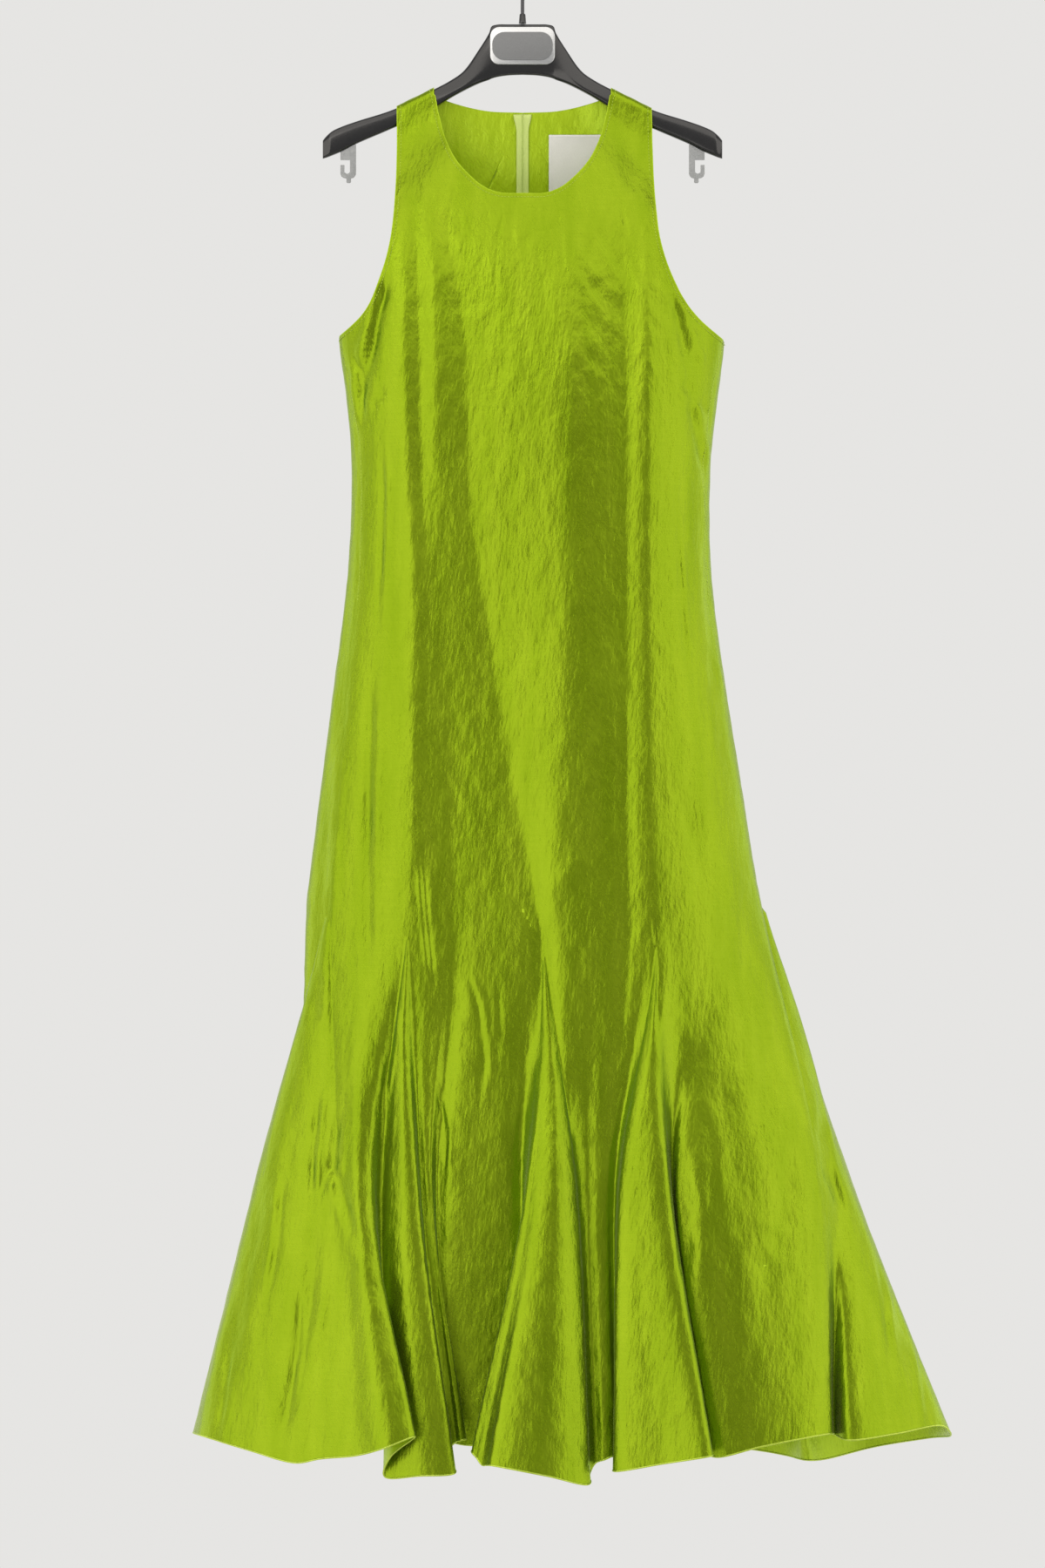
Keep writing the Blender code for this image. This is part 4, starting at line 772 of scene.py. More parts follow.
creased = np.zeros(len(space))
for rows, outlook in ((FRONT_CREASES, -1), (BACK_CREASES, 1)):
    on_face = smooth_step((outlook * outward[:, 1] - 0.1) / 0.35)
    for row in rows:
        creased += crease_rise(row, space[:, 0] / MM, -space[:, 2] / MM) * on_face
space = space + outward * ((sunk + rough + creased) * MM)[:, None]
print("creases rise from", creased.min().round(1), "to", creased.max().round(1), "mm")

# %% Godet apexes
# Near its apex a godet is a few threads wide: it is flat, and leans as the panels beside it do.
APEX_ROWS = 5
for numbers in godet_grids:
    for row in numbers[:APEX_ROWS]:
        space[row] = mix(space[row[0]], space[row[-1]], np.linspace(0, 1, len(row))[:, None])
outward = directions(space)
for i, numbers in enumerate(godet_grids):
    for k, row in enumerate([apexes[i], *numbers[:APEX_ROWS]]):
        level = k - 1 - SKIRT_ROWS
        lean = outward[[strip_grids[i][level, 1], strip_grids[i - 1][level, -2]]].sum(axis=0)
        outward[row] = lean / np.linalg.norm(lean)
print("flattened rows:", APEX_ROWS * len(godet_grids))

# %% [markdown]
# ## Finishes
# A finish is a small tree of nodes.  `Value` wraps one socket, so that shader maths
# reads like ordinary Python, and `Finish.node` adds any other node.

# %% Node helpers
def feed(tree, socket, value):
    """Link a socket to another one, or set its value."""
    if isinstance(value, bpy.types.NodeSocket):
        tree.links.new(value, socket)
    else:
        socket.default_value = value


def add_node(tree, kind, settings=None, inputs=None, output=0):
    """Add a node to a tree, set it up and return one of its outputs."""
    made = tree.nodes.new(kind)
    for key, value in (settings or {}).items():
        setattr(made, key, value)
    for key, value in (inputs or {}).items():
        feed(tree, made.inputs[key], value)
    return made.outputs[output]


class Value:
    """One output of a shader tree.  Arithmetic on it adds Math nodes."""

    def __init__(self, finish, socket):
        self.finish, self.socket = finish, socket

    def maths(self, operation, other):
        return self.finish.node("Math", {"operation": operation}, {0: self, 1: other})

    def __add__(self, other):
        return self.maths("ADD", other)

    def __sub__(self, other):
        return self.maths("SUBTRACT", other)

    def __mul__(self, other):
        return self.maths("MULTIPLY", other)


class Finish:
    """A material with a Principled shader, and one method that adds nodes to it."""

    def __init__(self, name, **constants):
        self.material = bpy.data.materials.new(name)
        self.material.use_nodes = True
        self.tree = self.material.node_tree
        for key, value in constants.items():
            self.set(key.replace("_", " "), value)

    def node(self, kind, settings=None, inputs=None, output=0):
        fed = {key: getattr(value, "socket", value) for key, value in (inputs or {}).items()}
        return Value(self, add_node(self.tree, "ShaderNode" + kind, settings, fed, output))

    def set(self, key, value):
        feed(self.tree, self.tree.nodes["Principled BSDF"].inputs[key], getattr(value, "socket", value))

    def place(self, scale=(1, 1, 1), turn=(0, 0, 0), kind="POINT"):
        """Object coordinates in metres for a pattern; as a TEXTURE, scale is a mark's length each way."""
        where = self.node("TexCoord", output=3)
        return self.node("Mapping", {"vector_type": kind},
                         {"Vector": where, "Scale": scale, "Rotation": turn})

    def noise(self, where, scale=1.0, detail=3.0, roughness=0.5):
        return self.node("TexNoise", None,
                         {"Vector": where, "Scale": scale, "Detail": detail, "Roughness": roughness})

    def strokes(self, length, lean, detail=3.0, roughness=0.6):
        """Noise drawn out to marks of a length each way, in metres, leaning by degrees."""
        return self.noise(self.place(length, (0, math.radians(lean), 0), "TEXTURE"), 1.0, detail, roughness)

    def blend(self, share, first, second):
        """A colour between two others."""
        return self.node("Mix", {"data_type": "RGBA"},
                         {0: share, 6: (*first, 1), 7: (*second, 1)}, output=2)

    def bump(self, height, distance, strength=1.0, under=None):
        inputs = {"Height": height, "Distance": distance, "Strength": strength}
        return self.node("Bump", None, inputs if under is None else {**inputs, "Normal": under})


def speckled(name, first, second, scale, detail=3.0, rough=None, bump=None, stretch=(1, 1, 1), **constants):
    """A finish whose colour, roughness and bump all follow one fine noise."""
    finish = Finish(name, **constants)
    finish.specks = finish.noise(finish.place(stretch), scale, detail)
    finish.set("Base Color", finish.blend(finish.specks, first, second))
    if rough:
        finish.set("Roughness", finish.specks * rough[0] + rough[1])
    if bump:
        finish.set("Normal", finish.bump(finish.specks, *bump))
    return finish


print("shader helpers are ready")

# %% [markdown]
# ### Taffeta
# Shot taffeta shows one colour of thread along and another across, so it glows where
# it leans toward a light and deepens where it faces away.  Its thread is glossy and
# coloured right through, which a little metallic value imitates.  Short crinkles
# cross it, and thicker threads, called slubs, run along the weft.

# %% Taffeta
def taffeta(name, light=(0.250, 0.352, 0.0095), deep=(0.150, 0.244, 0.0006), gloss=0.80):
    """The dress's cloth, with a lit and a deep colour."""
    cloth = Finish(name, Metallic=gloss, IOR=1.45, Specular_Tint=(0.85, 1.0, 0.55, 1),
                   Sheen_Weight=0.18, Sheen_Roughness=0.4, Sheen_Tint=(0.90, 0.95, 0.45, 1))
    slubs = cloth.noise(cloth.place((45, 45, 1300)), 1.0, 2.0)
    warp = cloth.noise(cloth.place((1300, 1300, 30)), 1.0, 1.0)
    falling = cloth.strokes((0.0026, 0.0026, 0.0100), -34, 3.0, 0.55)
    upright = cloth.strokes((0.0030, 0.0030, 0.0160), 7, 4.0)
    leaning = cloth.strokes((0.0026, 0.0026, 0.0070), 48)
    patches = cloth.noise(cloth.place((1, 1, 0.6), (0.1, 0.4, 0.2)), 24.0, 3.0, 0.6)
    crumple = cloth.noise(cloth.place((1, 1, 0.55), (0.2, 0.3, 0.1)), 62.0, 4.0, 0.52)
    streaks = cloth.noise(cloth.place((1, 1, 0.10), (0.0, 0.05, 0.0)), 60.0)
    cloudy = cloth.noise(cloth.place((1, 1, 0.3)), 8.0)
    share = cloudy * 0.5 + slubs * 0.35 + streaks * 0.9 + falling * 0.35 - 0.55
    cloth.set("Base Color", cloth.blend(share, deep, light))
    cloth.set("Roughness", falling * 0.10 + patches * 0.12 + 0.17)
    mask = (patches - 0.38) * 2.6
    normal = cloth.bump(crumple, 0.0030, 0.52)
    normal = cloth.bump(upright, 0.0012, 0.40, normal)
    normal = cloth.bump((falling * 0.5 + leaning * 0.3) * mask, 0.0010, 0.50, normal)
    cloth.set("Normal", cloth.bump(slubs * 0.6 + warp * 0.4, 0.00010, 0.4, normal))
    return cloth


TAFFETA = taffeta("taffeta_finish")
# A paler copy of the taffeta. On the hem roll its paler colour is a painted highlight along the hem's edge;
# on the stitches it is the thread's own paler colour.
TAFFETA_THREAD_AND_EDGE_HIGHLIGHT = taffeta("taffeta_edge_finish", (0.46, 0.58, 0.08), (0.38, 0.50, 0.05))
# A duller copy for the cloth's wrong side and the neck and armhole rolls. Its lighter colour is painted
# light, standing in for light that shines through the thin cloth.
TAFFETA_INSIDE_PAINTED_LIGHT = taffeta("taffeta_inside_finish", (0.400, 0.560, 0.012), (0.320, 0.480, 0.006), 0.25)
print("materials:", len(bpy.data.materials))

# %% [markdown]
# ## Sewing the pieces
# Each piece becomes a thin closed shell: the grid's points moved out by half the
# cloth's thickness, the same points moved in, and a narrow wall round the edge.

# %% Cloth pieces
def finished(name, mesh, finish, body="dress", replaces=()):
    mesh.name = name
    mesh.materials.clear()
    mesh.materials.append(finish.material)
    mesh.shade_smooth()
    thing = bpy.data.objects.new(name, mesh)
    bpy.context.collection.objects.link(thing)
    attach(thing, body)
    if replaces:
        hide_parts(*replaces)
    return thing


def mesh_from(points, faces):
    """A mesh from an array of points."""
    mesh = bpy.data.meshes.new("shape")
    mesh.from_pydata(points.reshape(-1, 3).tolist(), [], faces)
    mesh.update()
    return mesh


def walled(near, far, faces):
    """Closed mesh between two copies of a sheet of faces, with a wall round its rim."""
    edges = {(a, b): None for face in faces for a, b in zip(face, face[1:] + face[:1])}
    n = len(near)
    back = [[v + n for v in reversed(face)] for face in faces]
    walls = [[b, a, a + n, b + n] for a, b in edges if (b, a) not in edges]
    return mesh_from(np.concatenate((near, far)), faces + back + walls)


def sewn_normals(mesh, count, across):
    """Shade both faces by the whole dress's directions, so that pieces meet without a step."""
    corners = np.zeros(len(mesh.loops), dtype=np.int32)
    mesh.loops.foreach_get("vertex_index", corners)
    normals = np.concatenate((across, -across))[corners]
    start = mesh.polygons[2 * count].loop_start
    normals[start:] = [p.normal[:] for p in mesh.polygons[2 * count:] for _ in range(p.loop_total)]
    mesh.normals_split_custom_set(normals.tolist())


for name, faces in piece_faces.items():
    used, inverse = np.unique(faces, return_inverse=True)
    polygons = [list(dict.fromkeys(face)) for face in inverse.reshape(faces.shape).tolist()]
    half = outward[used] * (CLOTH / 2 * MM)
    mesh, count = walled(space[used] + half, space[used] - half, polygons), len(polygons)
    finished("cloth_" + name, mesh, TAFFETA, replaces=(name,))
    # The inner faces take the lighter inside copy, whose colour is painted light shining through the cloth.
    mesh.materials.append(TAFFETA_INSIDE_PAINTED_LIGHT.material)
    inner_side = np.zeros(len(mesh.polygons), dtype=np.int32)
    inner_side[count:2 * count] = 1
    mesh.polygons.foreach_set("material_index", inner_side)
    sewn_normals(mesh, count, outward[used])
    print(f"{name}: {len(faces) * 4} triangles, {sum(p.area for p in mesh.polygons) / 2:.3f} square metres")

# %% [markdown]
# ## Rolled edges
# The hem, the neck and the armholes end in a narrow rolled edge.  Geometry Nodes
# carry a small round section along each edge line, so one tree makes them all.

# %% Geometry Nodes helpers
class Tree:
    """A Geometry Nodes tree with a radius and a material as inputs."""

    def __init__(self, name):
        self.tree = bpy.data.node_groups.new(name, "GeometryNodeTree")
        face = self.tree.interface
        _, radius, paint = (face.new_socket(word, in_out="INPUT", socket_type="NodeSocket" + kind)
                            for word, kind in (("Geometry", "Geometry"), ("Radius", "Float"),
                                               ("Material", "Material")))
        self.radius, self.paint = radius.identifier, paint.identifier
        face.new_socket("Geometry", in_out="OUTPUT", socket_type="NodeSocketGeometry")
        self.given = self.tree.nodes.new("NodeGroupInput").outputs

    def node(self, kind, settings=None, inputs=None):
        return add_node(self.tree, kind, settings, inputs)

    def finish(self, shape):
        """End the tree: real geometry with its material."""
        real = self.node("GeometryNodeRealizeInstances", None, {0: shape})
        painted = self.node("GeometryNodeSetMaterial", None,
                            {"Geometry": real, "Material": self.given["Material"]})
        feed(self.tree, self.tree.nodes.new("NodeGroupOutput").inputs["Geometry"], painted)
        return self


def grown(path, tree, finish, closed=False, radius=0.0):
    """Run a tree on a poly curve through points in metres, and return a plain mesh."""
    curve = bpy.data.curves.new("path", "CURVE")
    curve.dimensions = "3D"
    spline = curve.splines.new("POLY")
    spline.points.add(len(path) - 1)
    spline.points.foreach_set("co", np.column_stack((path, np.ones(len(path)))).ravel())
    spline.use_cyclic_u = closed
    source = bpy.data.objects.new("path", curve)
    bpy.context.collection.objects.link(source)
    modifier = source.modifiers.new("shape", "NODES")
    modifier.node_group = tree.tree
    modifier[tree.radius], modifier[tree.paint] = radius, finish.material
    ready = source.evaluated_get(bpy.context.evaluated_depsgraph_get())
    mesh = bpy.data.meshes.new_from_object(ready)
    bpy.data.objects.remove(source)
    return mesh


def mesh_of(work, mesh=None):
    """Close a bmesh and return it as a mesh."""
    mesh = mesh or bpy.data.meshes.new("shape")
    work.to_mesh(mesh)
    work.free()
    return mesh


def joined(meshes):
    """Several meshes as one."""
    work = bmesh.new()
    for mesh in meshes:
        work.from_mesh(mesh)
    return mesh_of(work)


roll = Tree("rolled_edge")
section = roll.node("GeometryNodeCurvePrimitiveCircle", {"mode": "RADIUS"},
                    {"Resolution": 8, "Radius": roll.given["Radius"]})
roll.finish(roll.node("GeometryNodeCurveToMesh", None,
                      {"Curve": roll.given["Geometry"], "Profile Curve": section, "Fill Caps": True}))
print("tree:", roll.tree.name)

# %% Edge lines
hem_line = np.concatenate([np.concatenate((godet_grids[i][-1, :-1], strip_grids[i][-1, :-1]))
                           for i in range(len(GODETS))])


def edge_loop(*pairs):
    """Numbers along an opening: columns of the yoke, each (strip, column, step); step -1 runs upward."""
    runs = [strip_grids[strip][:TOP_ROWS + 1, column][::step] for strip, column, step in pairs]
    numbers = np.concatenate(runs)
    return numbers[np.concatenate(([True], np.diff(numbers) != 0))]


neck_loop = edge_loop((1, -1, 1), (2, 0, -1), (5, -1, 1), (6, 0, -1))
left_armhole, right_armhole = edge_loop((0, 0, 1), (7, -1, -1)), edge_loop((4, 0, 1), (3, -1, -1))
HEM_ROLL, NECK_ROLL = 0.9, 0.5      # radii in mm
# The hem roll wears the paler copy: a painted highlight along the edge of the hem.
hem_roll = finished("hem_roll", grown(space[hem_line], roll, TAFFETA_THREAD_AND_EDGE_HIGHLIGHT, True, HEM_ROLL * MM),
                    TAFFETA_THREAD_AND_EDGE_HIGHLIGHT)
# The neck and armhole rolls take the lighter inside copy: a painted highlight along these edges.
edge_meshes = [grown(space[line], roll, TAFFETA_INSIDE_PAINTED_LIGHT, True, NECK_ROLL * MM)
               for line in (neck_loop, left_armhole, right_armhole)]
edge_rolls = finished("edge_rolls", joined(edge_meshes), TAFFETA_INSIDE_PAINTED_LIGHT)


def length_of(numbers):
    """Length of a line through numbered points, in metres."""
    return float(np.linalg.norm(np.diff(space[numbers], axis=0), axis=1).sum())


print("hem round:", round(length_of(hem_line), 2), "m")

# %% [markdown]
# ## Topstitching
# A row of short stitches holds the turned edge down at the neck and armholes, and
# fine ones run beside the side seams.  The tree walks along a path, puts a small
# rounded bar at each step and lays it along the path.

# %% Stitches
def bar_tree(name, spacing, length, radius, rotation=None):
    """Tree that puts a small bar at each step along a path, laid along it unless a rotation is given."""
    tree = Tree(name)
    walk = tree.node("GeometryNodeResampleCurve", {"mode": "LENGTH"},
                     {"Curve": tree.given["Geometry"], "Length": spacing})
    bar = tree.node("GeometryNodeMeshCylinder", {"fill_type": "NGON"},
                    {"Vertices": 6, "Radius": radius, "Depth": length})
    if rotation is None:
        tangent = tree.node("GeometryNodeInputTangent")
        rotation = tree.node("FunctionNodeAlignRotationToVector", {"axis": "Z"}, {"Vector": tangent})
    return tree.finish(tree.node("GeometryNodeInstanceOnPoints", None,
                                 {"Points": walk, "Instance": bar, "Rotation": rotation}))


STITCH_INSET, SEAM_INSET, STITCH_LIFT = 3.6, 2.6, 0.05      # in mm


def beside(numbers, inset):
    """Path on the cloth's outer face, inset mm inward from an edge that runs round an opening."""
    here = space[numbers]
    run = np.roll(here, -1, axis=0) - np.roll(here, 1, axis=0)
    run /= np.maximum(np.linalg.norm(run, axis=1, keepdims=True), 1e-12)
    side = np.cross(outward[numbers], run)
    return here + side * (inset * MM) + outward[numbers] * ((CLOTH / 2 + STITCH_LIFT) * MM)


stitch = bar_tree("stitches", 0.0032, 0.0022, 0.00035)
stitch_meshes = [grown(beside(line, STITCH_INSET * sign), stitch, TAFFETA_THREAD_AND_EDGE_HIGHLIGHT, True)
                 for sign, line in ((-1, neck_loop), (1, left_armhole), (1, right_armhole))]
for sign, line in ((1, 0), (-1, 4)):
    path = beside(seam_lines[line][:TORSO_ROWS // 2], SEAM_INSET * sign)[1:-1]
    stitch_meshes.append(grown(path, stitch, TAFFETA))
stitches = finished("stitches", joined(stitch_meshes), TAFFETA_THREAD_AND_EDGE_HIGHLIGHT)
print("stitch faces:", len(stitches.data.polygons))

# %% [markdown]
# ## Zip and label
# The zip is sewn inside the centre back, so only its pale tape and coil show through
# the neck.  The label beside it is bare satin.

# %% Searching the back for a place to sew on
back_faces = np.concatenate((piece_faces["back_left"], piece_faces["back_right"]))
back_tree = BVHTree.FromPolygons(space.tolist(), [list(dict.fromkeys(f)) for f in back_faces.tolist()])


def inside_back(x, drop, gap):
    """Place inside the back, gap mm in front of the middle of its wall."""
    hit = back_tree.ray_cast(Vector((x * MM, 1.0, -drop * MM)), Vector((0, -1, 0)))
    return (x * MM, hit[0].y - gap * MM, -drop * MM)


def band(rows, thickness):
    """A thin closed band from rows of points, thickened toward the back."""
    rows = np.array(rows)
    near = rows.reshape(-1, 3)
    quads = grid_faces(np.arange(len(near)).reshape(rows.shape[:2])).tolist()
    return walled(near, near + np.array((0, thickness * MM, 0)), quads)


print("back faces:", len(back_faces))

# %% Zip tape and coil
ZIP_TOP, ZIP_LENGTH = 162.3, 550.0
TAPE_HALF, TAPE_FOLD, FOLD_LENGTH = 6.0, 3.0, 16    # the tape's top end is folded outward, in mm
TAPE_PROFILE = [(-1.0, 2.0), (-0.82, 2.1), (-0.3, 2.1), (-0.16, 2.5), (0.0, 2.2), (0.16, 2.5), (0.3, 2.1),
                (0.82, 2.1), (1.0, 2.0)]            # share of its half width, and gap to the cloth in mm
tape_drops = ZIP_TOP + np.linspace(0, ZIP_LENGTH, 140)
tape_rows = []
for d in tape_drops:
    half = TAPE_HALF + TAPE_FOLD * float(smooth_step((ZIP_TOP + FOLD_LENGTH - d) / FOLD_LENGTH))
    tape_rows.append([inside_back(half * share, d, gap) for share, gap in TAPE_PROFILE])
tape_finish = Finish("zip_tape_finish", Roughness=0.7)
weave = tape_finish.node("TexWave", {"wave_type": "BANDS", "bands_direction": "DIAGONAL"},
                         {"Vector": tape_finish.place(), "Scale": 900.0, "Distortion": 0.4})
tape_finish.set("Base Color", tape_finish.blend(weave, (0.50, 0.62, 0.16), (0.60, 0.73, 0.22)))
tape_finish.set("Normal", tape_finish.bump(weave, 0.0002, 0.5))
finished("zip_tape_woven", band(tape_rows, 0.8), tape_finish, replaces=("zip_tape",))

coil = bar_tree("zip_coil", 0.0014, 0.0019, 0.00028, (0.0, math.radians(82), 0.0))
coil_finish = speckled("zip_coil_finish", (0.44, 0.57, 0.10), (0.54, 0.67, 0.17), 900.0, Roughness=0.4)
coil_path = np.array([inside_back(0.0, d, 2.75) for d in tape_drops])
zip_coil = finished("zip_coil", grown(coil_path, coil, coil_finish), coil_finish)
print("zip teeth faces:", len(zip_coil.data.polygons))

# %% Neck label
LABEL_BOX = (26.0, 88.0, 182.0, 240.0)      # left, right, top, bottom in mm
LABEL_EDGE, EDGE_LIFT, WAVE = 0.05, 0.35, 0.25      # turned edge as a share, its height and a wave's in mm
label_rows = []
for v in np.linspace(0, 1, 30):
    row = []
    for u in np.linspace(0, 1, 32):
        edge = min(u, 1 - u, v, 1 - v)
        lift = EDGE_LIFT * smooth_step((LABEL_EDGE - edge) / LABEL_EDGE) + WAVE * math.sin(5 * u + 2 * v)
        row.append(inside_back(mix(*LABEL_BOX[:2], u), mix(*LABEL_BOX[2:], v), 1.9 + lift))
    label_rows.append(row)
satin = speckled("label_satin_finish", (0.60, 0.60, 0.57), (0.72, 0.72, 0.69), 1.0, 2.0, bump=(0.0001, 0.5),
                 stretch=(2500, 2500, 160), Roughness=0.35, Sheen_Weight=0.2)
finished("label_woven", band(label_rows, 0.6), satin, replaces=("neck_label",))
print("label is bare satin,", LABEL_BOX[1] - LABEL_BOX[0], "mm wide")

# %% [markdown]
# ## Hanger
# The hanger is one black moulding with rounded edges.  Its outline comes from the
# station table, drawn smooth; every section across an arm is a flat bar with half
# round edges.

# %% Hanger body
def outside_out(mesh):
    """Turn all faces of a closed mesh outward."""
    work = bmesh.new()
    work.from_mesh(mesh)
    bmesh.ops.recalc_face_normals(work, faces=work.faces)
    return mesh_of(work, mesh)


arm_lines = {column: edge_curve([Edge(arm.out, getattr(arm, column)) for arm in HANGER],
                                np.linspace(0, 1, 400)).T for column in ("top", "bottom")}
reach = np.concatenate((np.linspace(0, 28, 12), np.linspace(28.5, 46, 26), np.linspace(47, 186, 60),
                        np.linspace(187, 197.5, 14)))[:-1]
SECTION_STEPS = 36
CORNER = 0.62               # power of the section's sine and cosine, 1 is an ellipse
CROWN, FLARE = 0.35, 3.0    # the middle's top is thinner by this share; its face leans out below, in mm
TIP_START, TIP_LENGTH, TIP_THINNING = 189, 8.5, 0.45
sections = []
for x in np.concatenate((-reach[:0:-1], reach)):
    out = abs(x)
    top, bottom = (np.interp(out, *arm_lines[column]) for column in ("top", "bottom"))
    half = ARM_HALF * (1.0 - TIP_THINNING * smooth_step((out - TIP_START) / TIP_LENGTH))
    tall, centre = (bottom - top) / 2, (top + bottom) / 2
    middle_part = smooth_step((110 - out) / 60)
    beside_badge = middle_part * smooth_step((out - 30) / 26)
    ring = []
    for step in range(SECTION_STEPS):
        angle = 2 * math.pi * step / SECTION_STEPS
        up, forward = power(math.sin(angle), CORNER), power(math.cos(angle), CORNER)
        depth = half * forward * (1.0 - CROWN * (1 + up) / 2 * middle_part)
        depth += FLARE * (1 - up) / 2 * beside_badge * (1 + forward) / 2
        ring.append((x * MM, -depth * MM, (-centre + tall * up) * MM))
    sections.append(ring)
sections = np.array(sections)
numbers = np.arange(sections.shape[0] * sections.shape[1]).reshape(sections.shape[:2])
closed = grid_faces(np.hstack((numbers, numbers[:, :1]))).tolist()
hanger_mesh = mesh_from(sections, closed + [numbers[0, ::-1].tolist(), numbers[-1].tolist()])

plastic = Finish("black_plastic_finish", IOR=1.60)
scuffs, haze = plastic.noise(plastic.place(), 260.0, 4.0), plastic.noise(plastic.place(), 30.0, 2.0)
plastic.set("Base Color", plastic.blend(haze, (0.004, 0.004, 0.0045), (0.008, 0.008, 0.009)))
plastic.set("Roughness", scuffs * 0.06 + haze * 0.05 + 0.12)
plastic.set("Normal", plastic.bump(scuffs, 0.00008, 0.35))
finished("hanger_moulding", outside_out(hanger_mesh), plastic,
         replaces=("hanger_body",))
print("hanger sections:", len(sections))

# %% Badge
def bevelled(work, angle, offset, segments):
    """Bevel a bmesh's edges that are sharper than an angle, and return the mesh."""
    sharp = [e for e in work.edges if len(e.link_faces) == 2 and e.calc_face_angle(0) > math.radians(angle)]
    bmesh.ops.bevel(work, geom=sharp, offset=offset * MM, segments=segments, profile=0.5, affect="EDGES",
                    clamp_overlap=True)
    return mesh_of(work)


def rounded_slab(outline, near, far, bevel):
    """A flat piece with softened edges between two depths, all in mm."""
    work = bmesh.new()
    face = work.faces.new([work.verts.new((x * MM, near * MM, z * MM)) for x, z in outline])
    block = bmesh.ops.extrude_face_region(work, geom=[face])
    moved = [v for v in block["geom"] if isinstance(v, bmesh.types.BMVert)]
    bmesh.ops.translate(work, verts=moved, vec=(0, (far - near) * MM, 0))
    bmesh.ops.recalc_face_normals(work, faces=work.faces)
    return bevelled(work, 50, bevel, 3)


def rounded_box(width, height, corner, centre_drop, steps=8):
    """Outline of a box with round corners, as (x, z) pairs."""
    outline = []
    for quarter, (sx, sz) in enumerate(((1, 1), (-1, 1), (-1, -1), (1, -1))):
        for step in range(steps + 1):
            angle = math.radians(90 * quarter + 90 * step / steps)
            outline.append((sx * (width / 2 - corner) + corner * math.cos(angle),
                            -centre_drop + sz * (height / 2 - corner) + corner * math.sin(angle)))
    return outline


rim_finish = speckled("badge_rim_finish", (0.50, 0.51, 0.52), (0.64, 0.65, 0.66), 1.0, 2.0, (0.12, 0.18),
                      stretch=(40, 40, 900), Metallic=0.85)
plate_finish = speckled("badge_plate_finish", (0.13, 0.135, 0.14), (0.20, 0.205, 0.21), 1400.0, 2.0,
                        (0.2, 0.35), (0.00008, 0.6), Metallic=0.1)
BADGE_DROP = 97.0
finished("badge_rim", rounded_slab(rounded_box(63.6, 37, 9, BADGE_DROP), -8.0, -5.4, 0.6), rim_finish,
         replaces=("hanger_badge_rim",))
finished("badge_plate", rounded_slab(rounded_box(59.6, 27.8, 12, BADGE_DROP + 0.4), -8.9, -7.8, 0.5),
         plate_finish, replaces=("hanger_badge_plate",))
print("badge plate drop:", BADGE_DROP)

# %% Hook
WIRE_RADIUS, HOOK_RADIUS = 1.8, 20.0
bow = HOOK_RADIUS + WIRE_RADIUS
route = [(0.0, -74.7), (0.0, -66.0), (0.0, -58.0), (0.0, -52.0), (0.8, -48.2), (3.2, -44.6), (6.4, -42.0)]
route += [(bow * math.cos(math.radians(a)), -HOOK_RADIUS + bow * math.sin(math.radians(a)))
          for a in range(-62, 209, 6)]
hook_path = np.array([(x * MM, 0.0, z * MM) for x, z in route])
wire_finish = speckled("hook_finish", (0.05, 0.05, 0.055), (0.09, 0.09, 0.095), 700.0, 2.0, (0.15, 0.22),
                       Metallic=0.9)
hook_mesh = outside_out(grown(hook_path, roll, wire_finish, radius=WIRE_RADIUS * MM))
finished("hook_wire", hook_mesh, wire_finish, replaces=("hanger_hook",))
print("hook points:", len(hook_path))

# %% Collar and clips
COLLAR = [(2.1, -64.8), (2.5, -64.8), (2.8, -65.2), (3.0, -66.5), (3.5, -72.5), (3.7, -74.0), (3.6, -74.4),
          (2.1, -74.4)]
COLLAR_STEPS = 40
angles = np.linspace(0, 2 * math.pi, COLLAR_STEPS, endpoint=False)
rings = np.array([[(r * math.cos(a) * MM, r * math.sin(a) * MM, z * MM) for r, z in COLLAR]
                  for a in angles])
numbers = np.arange(rings.shape[0] * rings.shape[1]).reshape(rings.shape[:2])
numbers = np.vstack((numbers, numbers[:1]))
collar_faces = grid_faces(np.hstack((numbers, numbers[:, :1]))).tolist()
finished("hook_collar", outside_out(mesh_from(rings, collar_faces)), plastic,
         replaces=("hanger_ferrule",))

clip_finish = speckled("clip_plastic_finish", (0.22, 0.23, 0.235), (0.36, 0.37, 0.375), 320.0, 3.0,
                       (0.2, 0.18), (0.0002, 0.4), IOR=1.46)
clip_finish.set("Alpha", clip_finish.specks * 0.15 + 0.62)
CLIP = [(164.0, 193.4), (164.0, 222.3), (164.9, 224.5), (166.6, 226.2), (169.0, 226.8), (169.0, 230.4),
        (169.9, 231.3), (172.6, 231.3), (173.5, 230.4), (173.5, 226.8), (176.4, 226.3), (178.4, 224.8),
        (179.4, 222.3), (179.4, 213.6), (175.4, 213.6), (175.4, 220.8), (173.0, 222.3), (171.2, 221.8),
        (170.0, 220.3), (170.0, 208.6), (179.4, 208.6), (179.4, 201.1)]
for side, word in ((-1, "left"), (1, "right")):
    flat = [(side * out, -drop) for out, drop in CLIP]
    finished("strap_clip_" + word, rounded_slab(flat, -1.6, 1.6, 0.35), clip_finish,
             replaces=("hanger_clip_" + word,))
print("clips: 2")

